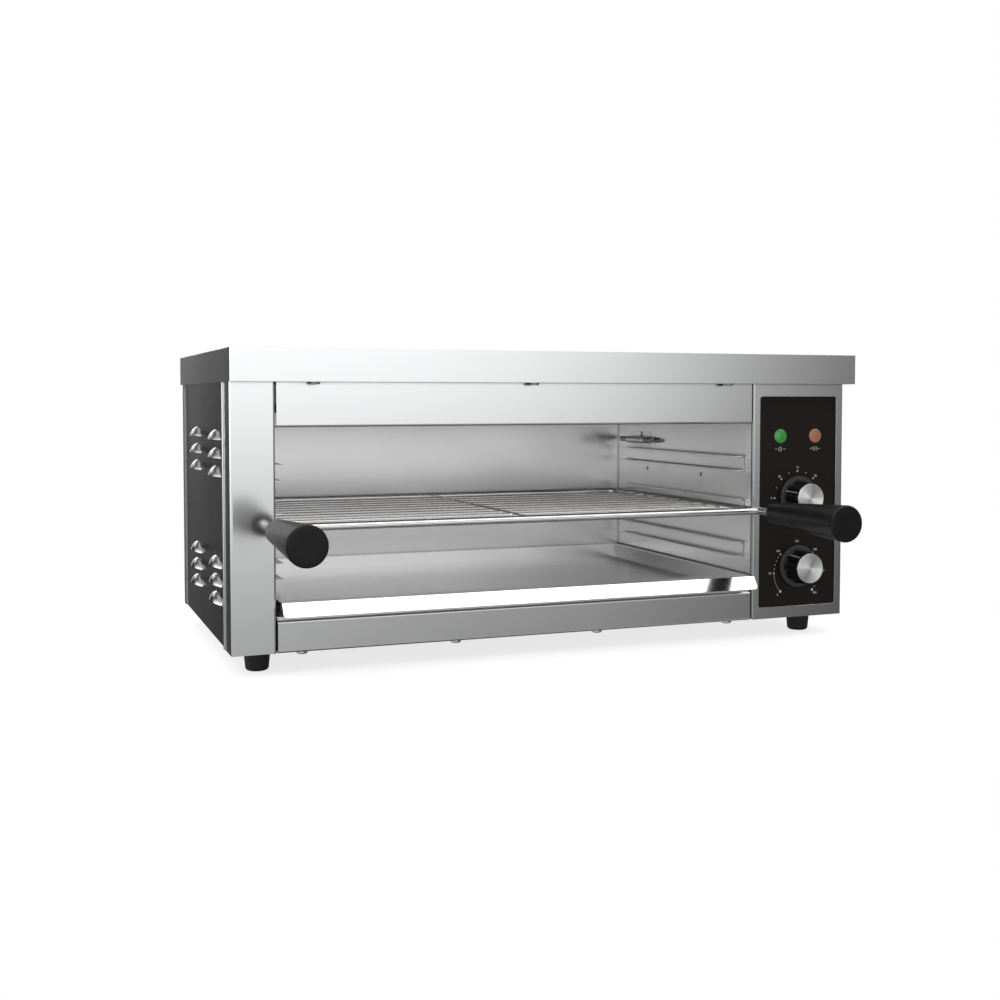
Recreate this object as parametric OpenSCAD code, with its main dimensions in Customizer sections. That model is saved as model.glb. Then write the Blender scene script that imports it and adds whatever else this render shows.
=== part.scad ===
// Electric cheese melter with a pull-out rack, a crumb tray and two rotary controls.
// The case stands on four feet. X runs to the right, Y to the back and Z up.
// Inside the modules Y starts at the case's front face, and placed() moves it to the frame.

/* [Case] */
// Width over the outer flanges
case_w = 606; // [570:1:660]
// Depth from the front face to the back panel's outer face
case_d = 305; // [295:1:340]
// Height of the walls from the base pan's underside to the cover's top sheet
case_h = 256.5; // [250:0.5:290]
// Thickness of the outer sheets
sheet = 1; // [0.8:0.1:1.2]
// Outer radius of a folded edge
bend_r = 2; // [1.5:0.1:3]
// Depth of the flanges that wrap round the sides from the front
side_return = 32.3; // [25:0.1:34]
// Depth of the flanges that wrap round the sides from the back
rear_return = 15; // [10:0.5:20]
// Depth of the flanges beside the chamber opening
inner_return = 13; // [12:0.5:14]

/* [Cover] */
// Height of the cover's skirt with its top sheet
cover_h = 28.2; // [22:0.1:34]
// Overhang of the cover in front of the case
cover_front = 17.5; // [12:0.5:25]
// Gap between the skirt and the case at the sides
cover_side_gap = 1; // [0.5:0.1:2]
// Gap between the skirt and the case at the back
cover_rear_gap = 0.5; // [0.3:0.1:2]
// Gap between the skirt's inward flange and the case's front face
cover_lip_gap = 4; // [3:0.1:4.5]

/* [Front] */
// Width of the left column
column_w = 38; // [34:0.5:50]
// Width of the control housing
control_w = 104; // [98:0.5:120]
// Height of the upper fascia below the cover's top sheet
fascia_h = 65.4; // [60:0.1:72]
// Height of the lower fascia
sill_h = 27.7; // [24:0.1:30]
// Gap at each end of the two fascias
fascia_gap = 1.2; // [0.8:0.1:2]
// Depth of the fascias' folded flanges
fascia_return = 15; // [12:0.5:20]

/* [Control panel] */
// Width of the frame at each side of the window
window_side = 8.3; // [7:0.1:10]
// Height of the frame between the cover's skirt and the window
window_top = 12.1; // [8:0.1:16]
// Height of the frame below the window
window_foot = 11.1; // [8:0.1:16]
// Corner radius of the window
window_r = 2.5; // [1.5:0.1:4]
// Thickness of the black plate behind the window
plate_t = 1.5; // [1:0.1:2.5]
// Overlap of the plate behind the frame
plate_lap = 4; // [2:0.1:5]
// Height of the lamps above the window's foot, as a share of the window's height
lamp_share = 0.8125; // [0.78:0.0005:0.85]
// Distance between the two lamps
lamp_pitch = 40; // [30:0.5:50]
// Diameter of a lamp's lens
lamp_d = 14; // [10:0.5:16]
// Height of the timer's axis above the window's foot, as a share of the window's height
timer_share = 0.5215; // [0.5:0.0005:0.54]
// Height of the thermostat's axis above the window's foot, as a share of the window's height
thermostat_share = 0.191; // [0.17:0.0005:0.2]

/* [Knobs] */
// Diameter of the skirt
skirt_d = 41; // [36:0.5:46]
// Thickness of the skirt
skirt_t = 3.3; // [2:0.1:4]
// Diameter of the grip where it leaves the skirt
grip_d = 34; // [31:0.5:35]
// Diameter of the grip at its front end
grip_tip_d = 30.4; // [30:0.1:31]
// Height of the knob in front of the black plate, with the metal cap
knob_h = 23.5; // [18:0.5:28]
// Diameter of the metal cap
cap_d = 28.6; // [26:0.1:29]
// Thickness of the metal cap's rim in front of the grip
cap_t = 1.2; // [0.8:0.1:2]
// Number of flutes round the grip
flutes = 9; // [6:1:12]
// Gap between the skirt and the black plate
knob_gap = 0.8; // [0.4:0.1:1.5]
// Diameter of the spindles
spindle_d = 6; // [5:0.5:7]

/* [Chamber] */
// Thickness of the chamber's liners
liner = 0.8; // [0.6:0.1:1]
// Distance from the back liner's face to the back panel's outer face
rear_space = 13; // [10:0.5:25]
// Height of the crumb tray's floor plate above the lower fascia
floor_rise = 3; // [2:0.1:4]
// Height of the reflector's underside below the cover's top sheet
reflector_drop = 30; // [26:0.5:34]

/* [Runners] */
// Height of the rack's middle level above the base pan's underside, as a share of the case's height
level_share = 0.427; // [0.42:0.001:0.435]
// Distance between the three levels, as a share of the case's height
level_step_share = 0.1645; // [0.155:0.0005:0.17]
// Distance between the middles of a runner's two flanges
runner_h = 13.8; // [12.5:0.1:16]
// Thickness of a runner's sheet
runner_t = 1; // [0.8:0.1:1.2]
// Depth of a runner's flanges into the chamber
runner_depth = 10.5; // [10:0.5:13]
// Gap between the flanges beside the opening and the runners' front ends
runner_gap = 2.5; // [1:0.1:10]
// Distance from the runners' rear ends to the back liner
runner_rear = 24; // [10:0.5:50]

/* [Rack] */
// Diameter of the rack's hoop and front bar
bar_d = 6.5; // [5.5:0.1:7]
// Distance from the liner's face to the middle of a side rail
rail_inset = 6; // [5.5:0.1:7]
// Gap between the hoop's back and the back liner
rack_rear_gap = 0.8; // [0.5:0.1:3]
// Gap between the front bar and the case's front face
rack_front_gap = 1.7; // [1.5:0.1:3]
// Bend radius of the hoop's back corners
hoop_r = 12; // [8:0.5:18]
// Diameter of the thin wires
wire_d = 3.2; // [2.5:0.1:4]
// Distance between the thin wires
wire_pitch = 26; // [22:0.5:40]
// Distance from the front bar to the first thin wire
wire_first = 48; // [35:0.5:60]
// Diameter of the wire that crosses the middle
cross_d = 4.2; // [3.2:0.1:5]
// Gap between the rack and the runner it rests on
seat_gap = 0.3; // [0.2:0.1:0.5]

/* [Handles] */
// Distance that a handle's axis lies outside the edge of the opening
handle_out = 4.7; // [3:0.1:6]
// Length of a handle
handle_l = 111.3; // [80:0.1:130]
// Diameter at the rear end
handle_rear_d = 21; // [18:0.5:24]
// Diameter at the front end
handle_front_d = 32.5; // [26:0.5:36]
// Radius of the front end's edge
handle_edge_r = 1.6; // [1:0.1:3]
// Distance from the case's front face to the handle's rear end
handle_stand = 32.2; // [26:0.1:40]
// Diameter of the threaded stud that carries a handle
stud_d = 8; // [7:0.5:9]

/* [Crumb tray] */
// Gap between the tray and the chamber's opening at each side
tray_gap = 3; // [2:0.1:5]
// Depth of the tray from its rim to its floor
tray_h = 12; // [8:0.5:14]
// Thickness of the tray's sheet
tray_t = 1; // [0.8:0.1:1.2]
// Width of the tray's sloping sides
tray_slope = 10; // [6:0.5:16]
// Width of the rim at the sides and the back
rim_w = 3.5; // [2:0.1:6]
// Distance that the lip's top edge stands in front of the case
lip_top = 9; // [6:0.1:12]
// Distance that the lip's lower edge stands in front of the case
lip_foot = 16.5; // [13:0.1:20]
// Height of the lip's polished face
lip_h = 11.2; // [8:0.1:12]
// Corner radius at the lip's lower ends
lip_r = 3; // [1:0.1:5]

/* [Elements] */
// Diameter of the heating elements' tubes
element_d = 8; // [6.5:0.5:9]
// Distance between the two legs of an element
leg_pitch = 40; // [30:1:50]
// Distance from the front face to the front element's middle, as a share of the chamber's depth
element_share = 0.346; // [0.32:0.001:0.36]
// Height of the elements' axes below the reflector
element_drop = 20; // [15:0.5:22]

/* [Louvers] */
// Length of a louver
louver_l = 68; // [50:1:90]
// Height of a louver
louver_h = 7.4; // [5:0.1:9]
// Distance between the louvers in a column
louver_pitch = 16.1; // [14:0.1:20]
// Distance from the case's front face to the front column's middle, as a share of the depth
louver_front_share = 0.277; // [0.27:0.001:0.33]
// Distance from the case's front face to the rear column's middle, as a share of the depth
louver_rear_share = 0.672; // [0.64:0.001:0.73]
// Height of the upper group's middle above the base pan's underside
louver_upper_z = 166.9; // [155:0.1:175]
// Height of the lower group's middle above the base pan's underside
louver_lower_z = 54.4; // [45:0.1:70]

/* [Feet] */
// Height of the rubber feet
foot_h = 19.5; // [15:0.5:25]
// Diameter at the top of a foot
foot_d = 23.8; // [20:0.1:30]
// Diameter at the bottom of a foot
foot_tip_d = 20.4; // [18:0.1:22]
// Edge radius at the bottom of a foot
foot_r = 3; // [1:0.1:4]
// Distance from the case's side to the middle of a foot
foot_side = 27.4; // [20:0.1:40]
// Distance from the case's front face to the front feet
foot_front = 34.5; // [25:0.5:50]
// Distance from the back panel to the rear feet
foot_back = 34.5; // [25:0.5:50]

/* [Cable gland] */
// Radius of the hole for the supply cord
gland_bore_r = 4.5; // [3:0.1:6]
// Length of the gland's hole
gland_l = 26; // [20:0.5:30]
// Distance that the gland stands out behind the case
gland_out = 12; // [8:0.5:16]
// Radius of the gland's threaded body
gland_r = 8; // [7.5:0.1:10]

/* [Hidden] */
$fn = 48;

// Overrun of a cut past the face that it opens
cut = 1;
// Least clearance between pieces that are laid side by side
ease = 0.3;
// Running clearance of a spindle in its bush
running = 0.05;

// Heights, from the surface that the feet stand on
base_z = foot_h;
pan_z = base_z + sheet;
pan_top = pan_z + sheet;
top_z = base_z + case_h;
cover_top = top_z + sheet;
skirt_z = cover_top - cover_h;
opening_top = top_z - fascia_h;
opening_foot = base_z + sill_h;

// Places across the width
left_x = -case_w / 2;
right_x = case_w / 2;
opening_l = left_x + column_w;
opening_r = right_x - control_w;
opening_w = opening_r - opening_l;
chamber_l = opening_l - sheet;
chamber_r = opening_r + sheet;
chamber_mid = (chamber_l + chamber_r) / 2;
chamber_w = chamber_r - chamber_l;
chamber_d = case_d - rear_space;
skirt_x = right_x + cover_side_gap + sheet;
panel_x = right_x - sheet;

// Window of the control housing
window_l = opening_r + window_side;
window_w = control_w - 2 * window_side;
window_high = skirt_z - window_top;
window_low = base_z + window_foot;
window_mid = window_l + window_w / 2;
window_h = window_high - window_low;
lamp_z = window_low + lamp_share * window_h;
timer_z = window_low + timer_share * window_h;
thermostat_z = window_low + thermostat_share * window_h;
plate_y = sheet;
plate_back = plate_y + plate_t;
knob_y = plate_y - knob_gap;

// Inside of the knobs and handles
grip_h = knob_h - knob_gap - cap_t;
skirt_edge = 0.8;
flute_r = 5.5;
flute_depth = 1.6;
cap_edge = 0.4;
grip_wall = 4;
spindle_out = grip_h - grip_wall;
stud_in = 22;
stud_gap = 1;
stud_ridge = 2;
ridge_shares = [[0, 0], [0.1, 0.3], [0.1, 0.7], [0, 1]];

// Rack
level_zs = [for (level = [-1, 0, 1]) base_z + (level_share + level * level_step_share) * case_h];
rack_z = level_zs[1] - runner_h / 2 + runner_t / 2 + seat_gap + bar_d / 2;
bar_y = -rack_front_gap - bar_d / 2;
rail_x = chamber_w / 2 - rail_inset;
hoop_back = chamber_d - rack_rear_gap - bar_d / 2;
wire_span = hoop_back - bar_y - bar_d;
wire_count = floor((wire_span - wire_first) / wire_pitch);
handle_x = opening_w / 2 + handle_out;

// Crumb tray
tray_floor = opening_foot + floor_rise;
tray_bottom = tray_floor + seat_gap;
tray_rim = tray_bottom + tray_t + tray_h;
tray_l = opening_l + tray_gap;
tray_r = opening_r - tray_gap;
tray_back = chamber_d - ease;
tray_front = 3.5;
lip_hem = 5;

// Elements
reflector_z = top_z - reflector_drop;
element_z = reflector_z - element_drop;
leg_ys = [
  for (share = [element_share, 1 - element_share])
    for (leg = [-1, 1])
      share * chamber_d + leg * leg_pitch / 2
];
element_bend_gap = 16;
element_bend_x = chamber_l + element_bend_gap + leg_pitch / 2;
element_out = 18;
pin_d = 4;
pin_l = 12;
hanger_w = 12;
hanger_shares = [-0.3, 0.3];

// Sheets: lap of the side panels, folds of the base pan, seat of the louvers, blanket
panel_lap = 12;
base_fold = 12;
louver_sink = 0.8;
blanket_t = 22;

// Screws and nuts
screw_d = 4;
hole_d = 4.6;
head_d = 9.5;
head_h = 2.6;
cover_head_d = 7.8;
slot_w = 1.1;
slot_l = 5;
nut_d = 8;
nut_h = 3.2;
nut_past = 2;
base_screw_y = fascia_return / 2;
base_screw_shares = [-0.45, -0.15, 0.15, 0.45];
base_screw_xs = [for (share = base_screw_shares) chamber_mid + share * opening_w];
cover_screw_y = -cover_front / 2;
cover_screw_shares = [-0.43, 0, 0.43];
cover_screw_xs = [for (share = cover_screw_shares) chamber_mid + share * opening_w];
bracket_w = 20;
bracket_h = 14;
reflector_lip = 12;
back_screw_shares = [-0.42, -0.14, 0.14, 0.42];
back_screw_places = [for (share = back_screw_shares) [share * case_w, pan_z + base_fold / 2]];

// Feet
foot_x = right_x - foot_side;
foot_places = [for (x = [-foot_x, foot_x], y = [foot_front, case_d - foot_back]) [x, y]];
recess_d = 10.5;
recess_h = 9;

// Controls behind the plate
bush_d = 9;
control_screw_pitch = 28;
small_d = 3;
small_head_d = 5.4;
small_hole_d = 3.4;
thermostat_w = 38;
thermostat_h = 34;
thermostat_deep = 27;
timer_d = 46;
timer_deep = 32;
spindle_in = 14;
tab_w = 6.3;
tab_l = 8;
tab_t = 0.8;
lens_t = 2;
lamp_body_d = 12;
lamp_body_l = 22;

// Sensor of the thermostat, in its clip on the right liner
sensor_d = 6;
sensor_inset = 6;
sensor_x = chamber_r - sensor_inset;
sensor_share = 0.6577;
sensor_z = base_z + sensor_share * case_h;
sensor_rear_gap = 21;
sensor_l = 75;
sensor_front = chamber_d - sensor_rear_gap - sensor_l;
capillary_d = 2;
capillary_r = 6;
capillary_y = sensor_front - 5 * capillary_d;
capillary_x = chamber_r + 7 * capillary_d;
capillary_front = plate_back + thermostat_deep / 2;
clip_y = sensor_front + sensor_l / 2;
clip_l = 42;
clip_foot = sensor_z - sensor_d;
clip_h = 15;
clip_screw_z = sensor_z + sensor_d;
spare_hole_shares = [0.342, 0.748];
spare_hole_rise_share = 0.532;
spare_hole_z = base_z + spare_hole_rise_share * case_h;
spare_hole_d = 4;

// Supply
gland_x = window_mid;
gland_rise = 40;
gland_z = pan_top + gland_rise;
gland_rim = 3;
gland_rim_r = gland_r + gland_rim;
gland_nut_h = 5;
terminal_size = [34, 22, 18];

// Frame: the origin is below the middle of the whole object's length
front_end = -handle_stand - handle_l;
back_end = case_d + gland_out;
frame_y = -(front_end + back_end) / 2;

// Colours
steel = [0.78, 0.79, 0.8];
bright = [0.9, 0.9, 0.91];
black = [0.09, 0.09, 0.1];
rubber = [0.06, 0.06, 0.06];

module placed()
  translate([0, frame_y, 0])
    children();

// Box between two corners
module block(a, b)
  translate(a)
    cube(b - a);

// Outline in X and Z, drawn out from y towards the back
module to_back(y, l)
  translate([0, y + l, 0])
    rotate([90, 0, 0])
      linear_extrude(height = l)
        children();

// Outline in Y and Z, drawn out from x towards the right
module to_right(x, l)
  translate([x, 0, 0])
    rotate([90, 0, 90])
      linear_extrude(height = l)
        children();

// Outline of a radius and a height, turned about an axis that points to the back
module turned_to_back(p)
  translate(p)
    rotate([-90, 0, 0])
      rotate_extrude()
        children();

// Round bar that points to the back
module bar_to_back(p, d, l)
  translate(p)
    rotate([-90, 0, 0])
      cylinder(d = d, h = l);

// Round bar that points to the right
module bar_to_right(p, d, l)
  translate(p)
    rotate([0, 90, 0])
      cylinder(d = d, h = l);

// Straight round rod between two points
module rod(p, q, d) {
  v = q - p;
  translate(p)
    rotate([0, acos(v.z / norm(v)), atan2(v.y, v.x)])
      cylinder(d = d, h = norm(v));
}

// Quarter bend of a rod that comes to corner p along a and leaves it along b
module elbow(p, a, b, r, d) {
  o = p - r * a + r * b;
  c = cross(-b, a);
  multmatrix([[-b.x, a.x, c.x, o.x], [-b.y, a.y, c.y, o.y], [-b.z, a.z, c.z, o.z], [0, 0, 0, 1]])
    rotate_extrude(angle = 90)
      translate([r, 0])
        circle(d = d);
}

// Rod along points that meet at right angles, with every corner bent to one radius
module route(ps, r, d) {
  last = len(ps) - 1;
  for (i = [0:last - 1]) {
    a = (ps[i + 1] - ps[i]) / norm(ps[i + 1] - ps[i]);
    from = i == 0 ? ps[0] : ps[i] + r * a;
    to = i == last - 1 ? ps[last] : ps[i + 1] - r * a;
    if (norm(to - from) > ease)
      rod(from, to, d);
    if (i < last - 1)
      elbow(ps[i + 1], a, (ps[i + 2] - ps[i + 1]) / norm(ps[i + 2] - ps[i + 1]), r, d);
  }
}

// Pan-head screw that points up from its head's underside, with a nut pressed on its shank
module screw(nut_z, wide = head_d) {
  l = nut_z + nut_h + nut_past;
  high = head_h * wide / head_d;
  difference() {
    rotate_extrude()
      polygon([[0, -high], [0.3 * wide, -high], [0.45 * wide, -0.6 * high],
               [wide / 2, -0.2 * high], [wide / 2, 0], [screw_d / 2, 0],
               [screw_d / 2, l], [0, l]]);
    for (size = [[slot_l, slot_w], [slot_w, slot_l]])
      block([-size.x / 2, -size.y / 2, -2 * high], [size.x / 2, size.y / 2, -high / 2]);
  }
  translate([0, 0, nut_z])
    cylinder(d = nut_d, h = nut_h, $fn = 6);
}

module round_square(size, r) {
  translate([r, 0])
    square([size.x - 2 * r, size.y]);
  translate([0, r])
    square([size.x, size.y - 2 * r]);
  for (x = [r, size.x - r], y = [r, size.y - r])
    translate([x, y])
      circle(r = r);
}

// Folded sheet seen from above: a front face with a flange at each end
module folded_front(x0, x1, left_depth, right_depth) {
  w = x1 - x0;
  deep = max(left_depth, right_depth);
  translate([x0, 0])
    difference() {
      round_square([w, 2 * deep], bend_r);
      translate([sheet, sheet])
        round_square([w - 2 * sheet, 2 * deep], bend_r - sheet);
      translate([-cut, left_depth])
        square([w / 2 + cut, 2 * deep]);
      translate([w / 2, right_depth])
        square([w / 2 + cut, 2 * deep]);
    }
}

// Shallow cover with a skirt all round and an inward flange below its front
module top_cover() {
  rear = case_d + cover_rear_gap + sheet;
  w = 2 * skirt_x;
  l = rear + cover_front;
  color(steel)
    placed() {
      translate([-skirt_x, -cover_front, skirt_z])
        difference() {
          linear_extrude(height = cover_h)
            round_square([w, l], bend_r);
          translate([sheet, sheet, -cut])
            linear_extrude(height = cover_h - sheet + cut)
              round_square([w - 2 * sheet, l - 2 * sheet], bend_r - sheet);
        }
      difference() {
        block([-skirt_x + sheet, -cover_front + sheet, skirt_z],
              [skirt_x - sheet, -cover_lip_gap, skirt_z + sheet]);
        for (x = cover_screw_xs)
          translate([x, cover_screw_y, skirt_z - cut])
            cylinder(d = hole_d, h = sheet + 2 * cut);
      }
    }
}

// Angle brackets on the upper fascia that carry the cover's inward flange
module cover_brackets() {
  z = skirt_z + sheet;
  color(steel)
    placed()
      for (x = cover_screw_xs)
        difference() {
          union() {
            block([x - bracket_w / 2, 2 * sheet - cover_front, z], [x + bracket_w / 2, 0, z + sheet]);
            block([x - bracket_w / 2, -sheet, z], [x + bracket_w / 2, 0, z + bracket_h]);
          }
          translate([x, cover_screw_y, z - cut])
            cylinder(d = hole_d, h = sheet + 2 * cut);
        }
}

// Left column folded from one sheet, with a deep flange along the side
module left_casing()
  color(steel)
    placed()
      translate([0, 0, base_z])
        linear_extrude(height = case_h)
          folded_front(left_x, opening_l, side_return, inner_return);

// Radius of a louver's arch over its chord, and the distance of its centre below the chord
louver_r = (pow(louver_l / 2, 2) + pow(louver_h, 2)) / (2 * louver_h);
louver_drop = louver_r - louver_h;

// Arch of a louver in height and length, drawn inwards by one sheet or by none
function arch(inset, steps = 12) =
  let (r = louver_r - inset, half = acos(louver_drop / r))
  [for (i = [0:steps])
    let (a = half * (2 * i / steps - 1))
    [max(0, r * cos(a) - louver_drop), r * sin(a)]];

// Pressed hood that is open below: an arch turned round a chord that lies behind the sheet
module louver()
  intersection() {
    translate([louver_sink, 0, 0])
      rotate([90, 0, 180])
        rotate_extrude(angle = 90)
          difference() {
            polygon(arch(0));
            polygon(arch(sheet));
          }
    block([-louver_h, -louver_l, 0], [0, louver_l, louver_h]);
  }

// Places of the louvers in a side panel, as Y and Z
louver_places = [
  for (middle = [louver_upper_z, louver_lower_z])
    for (share = [louver_front_share, louver_rear_share])
      for (row = [-1, 0, 1])
        [share * case_d, base_z + middle + row * louver_pitch - louver_h / 2]
];

// Flat side panel behind the flanges, with two groups of pressed louvers
module louvered_panel() {
  middle = -panel_x + sheet / 2;
  difference() {
    block([-panel_x, side_return - panel_lap, base_z],
          [-panel_x + sheet, case_d - bend_r, top_z]);
    for (p = louver_places)
      translate([0, p.x, p.y])
        to_right(-panel_x - cut, sheet + 2 * cut)
          polygon([for (q = arch(sheet)) [q.y, q.x]]);
  }
  for (p = louver_places)
    translate([middle, p.x, p.y])
      louver();
}

module left_side_panel()
  color(steel)
    placed()
      louvered_panel();

module right_side_panel()
  color(steel)
    placed()
      mirror([1, 0, 0])
        louvered_panel();

// Back sheet folded round both sides, with the hole for the cable gland
module back_panel()
  color(steel)
    placed()
      difference() {
        translate([0, case_d, base_z])
          mirror([0, 1, 0])
            linear_extrude(height = case_h)
              folded_front(left_x, right_x, rear_return, rear_return);
        bar_to_back([gland_x, case_d - sheet - cut, gland_z], 2 * gland_r, sheet + 2 * cut);
        for (p = back_screw_places)
          bar_to_back([p.x, case_d - sheet - cut, p.y], hole_d, sheet + 2 * cut);
      }

// Base sheet inside the walls, with its edges folded up at the sides and the back
module base_pan() {
  side = panel_x - sheet;
  rear = case_d - sheet;
  color(steel)
    placed()
      difference() {
        union() {
          block([-side, bend_r + ease, pan_z], [side, rear, pan_top]);
          for (x = [-side, side - sheet])
            block([x, side_return, pan_z], [x + sheet, rear, pan_z + base_fold]);
          block([-side, rear - sheet, pan_z], [side, rear, pan_z + base_fold]);
        }
        for (p = back_screw_places)
          bar_to_back([p.x, rear - sheet - cut, p.y], hole_d, sheet + 2 * cut);
        for (x = [chamber_l, opening_r])
          block([x - ease, 0, pan_z - cut], [x + sheet + ease, inner_return + ease, pan_top + cut]);
        for (p = foot_places)
          translate([p.x, p.y, pan_z - cut])
            cylinder(d = hole_d, h = sheet + 2 * cut);
        for (x = base_screw_xs)
          translate([x, base_screw_y, pan_z - cut])
            cylinder(d = hole_d, h = sheet + 2 * cut);
      }
}

// Folded section of sheet t: an upright face with a flange along its top and its foot
module folded_bar(z0, z1, deep, t, r)
  translate([0, z0])
    difference() {
      round_square([2 * deep, z1 - z0], r);
      translate([t, t])
        round_square([2 * deep, z1 - z0 - 2 * t], r - t);
      translate([deep, -cut])
        square([2 * deep, z1 - z0 + 2 * cut]);
    }

// Front bar above the opening
module upper_fascia()
  color(steel)
    placed()
      to_right(opening_l + fascia_gap, opening_w - 2 * fascia_gap)
        folded_bar(opening_top, top_z, fascia_return, sheet, bend_r);

// Front bar below the opening, with the holes of the base screws
module lower_fascia()
  color(steel)
    placed()
      difference() {
        to_right(opening_l + fascia_gap, opening_w - 2 * fascia_gap)
          folded_bar(base_z, opening_foot, fascia_return, sheet, bend_r);
        for (x = base_screw_xs)
          translate([x, base_screw_y, base_z - cut])
            cylinder(d = hole_d, h = sheet + 2 * cut);
      }

// Frame of the controls, folded from one sheet and cut out for the window
module control_housing()
  color(steel)
    placed()
      difference() {
        intersection() {
          translate([0, 0, base_z])
            linear_extrude(height = case_h)
              folded_front(opening_r, right_x, inner_return, side_return);
          to_back(-cut, side_return + 2 * cut)
            translate([opening_r, base_z])
              round_square([control_w, case_h], bend_r);
        }
        to_back(-cut, sheet + 2 * cut)
          translate([window_l, window_low])
            round_square([window_w, window_h], window_r);
      }

// Black plate behind the window, drilled for the lamps, the spindles and their screws
module control_plate()
  color(black)
    placed()
      difference() {
        block([window_l - plate_lap, plate_y, window_low - plate_lap],
              [window_l + window_w + plate_lap, plate_back, window_high + plate_lap]);
        for (side = [-1, 1])
          bar_to_back([window_mid + side * lamp_pitch / 2, 0, lamp_z], lamp_body_d, plate_back + cut);
        for (z = [timer_z, thermostat_z]) {
          bar_to_back([window_mid, 0, z], bush_d + 2 * ease, plate_back + cut);
          for (side = [-1, 1])
            turned_to_back([window_mid + side * control_screw_pitch / 2, plate_y, z])
              countersunk(ease, plate_t + cut);
        }
      }

// Flat terminal tab that points to the back
module tab()
  block([-tab_t / 2, -cut, -tab_w / 2], [tab_t / 2, tab_l, tab_w / 2]);

// Half outline of a countersunk screw, or of its hole when it is made wider
module countersunk(wider, l)
  polygon([[0, -cut * sign(wider)], [small_head_d / 2 + wider, -cut * sign(wider)],
           [small_head_d / 2 + wider, 0], [small_d / 2 + wider, (small_head_d - small_d) / 2],
           [small_d / 2 + wider, l], [0, l]]);

// Round lamp: a domed lens in front of the plate and a body with two tabs behind it
module lamp(x) {
  lens_y = plate_y - lens_t;
  dome_r = (pow(lamp_d / 2, 2) + pow(lens_t, 2)) / (2 * lens_t);
  placed() {
    intersection() {
      translate([x, lens_y + dome_r, lamp_z])
        sphere(r = dome_r);
      bar_to_back([x, lens_y - cut, lamp_z], lamp_d, lens_t + cut);
    }
    bar_to_back([x, plate_y, lamp_z], lamp_body_d - 2 * running, plate_t + lamp_body_l);
    for (side = [-1, 1])
      translate([x + side * lamp_body_d / 4, plate_back + lamp_body_l, lamp_z])
        tab();
  }
}

module power_lamp()
  color("limegreen")
    lamp(window_mid - lamp_pitch / 2);

module heat_lamp()
  color("orange")
    lamp(window_mid + lamp_pitch / 2);

// Side wall of the chamber between X x and x plus its sheet
module side_liner(x)
  block([x, bend_r, pan_top], [x + liner, chamber_d + liner, reflector_z]);

module left_liner()
  color(bright)
    placed()
      side_liner(chamber_l - liner);

// Right side wall, with the holes of the elements, the sensor's tube and two spare holes
module right_liner()
  color(bright)
    placed()
      difference() {
        side_liner(chamber_r);
        for (y = leg_ys)
          bar_to_right([chamber_r - cut, y, element_z], element_d + 2 * ease, liner + 2 * cut);
        for (share = spare_hole_shares)
          bar_to_right([chamber_r - cut, share * chamber_d, spare_hole_z], spare_hole_d, liner + 2 * cut);
        bar_to_right([chamber_r - cut, capillary_y, sensor_z], capillary_d + 2 * ease, liner + 2 * cut);
        bar_to_right([chamber_r - cut, clip_y, clip_screw_z], small_hole_d, liner + 2 * cut);
      }

// Three channel runners on a wall at X zero, one above the other, with their flanges to the right
module runners() {
  front = inner_return + runner_gap;
  for (z = level_zs)
    to_back(front, chamber_d - runner_rear - front)
      folded_bar(z - (runner_h + runner_t) / 2, z + (runner_h + runner_t) / 2, runner_depth,
                 runner_t, 2 * runner_t);
}

module left_runners()
  color(bright)
    placed()
      translate([chamber_l, 0, 0])
        runners();

module right_runners()
  color(bright)
    placed()
      translate([chamber_r, 0, 0])
        mirror([1, 0, 0])
          runners();

module back_liner()
  color(bright)
    placed()
      block([chamber_l, chamber_d, pan_top], [chamber_r, chamber_d + liner, reflector_z]);

// Floor plate below the crumb tray, with a front edge folded down onto the lower fascia
module chamber_floor()
  color(bright)
    placed() {
      block([chamber_l, inner_return + ease, tray_floor - liner], [chamber_r, chamber_d, tray_floor]);
      block([opening_l + ease, bend_r + ease, tray_floor - liner],
            [opening_r - ease, inner_return + ease, tray_floor]);
      block([opening_l + fascia_gap, bend_r + ease, opening_foot],
            [opening_r - fascia_gap, bend_r + ease + liner, tray_floor]);
    }

// Polished plate above the elements, with a front flange behind the upper fascia
module reflector()
  color(bright)
    placed() {
      block([chamber_l - liner, inner_return + ease, reflector_z],
            [chamber_r + liner, chamber_d + liner, reflector_z + liner]);
      block([opening_l + fascia_gap, sheet, reflector_z],
            [opening_r - fascia_gap, inner_return + ease, reflector_z + liner]);
      block([opening_l + fascia_gap, sheet, reflector_z],
            [opening_r - fascia_gap, sheet + liner, reflector_z + reflector_lip]);
    }

// Mineral blanket on the reflector
module insulation()
  color("khaki")
    placed()
      block([chamber_l, inner_return + ease, reflector_z + liner],
            [chamber_r, chamber_d, reflector_z + liner + blanket_t - sheet]);

// Heating element: a tube bent to a U, with a terminal pin in each end
module element(first) {
  y0 = leg_ys[first];
  y1 = leg_ys[first + 1];
  tube_end = chamber_r + liner + element_out;
  placed() {
    route([[tube_end, y0, element_z], [element_bend_x - leg_pitch / 2, y0, element_z],
           [element_bend_x - leg_pitch / 2, y1, element_z], [tube_end, y1, element_z]],
          leg_pitch / 2, element_d);
    for (y = [y0, y1])
      bar_to_right([tube_end - cut, y, element_z], pin_d, cut + pin_l);
  }
}

module front_element()
  color("dimgray")
    element(0);

module rear_element()
  color("dimgray")
    element(2);

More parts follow.
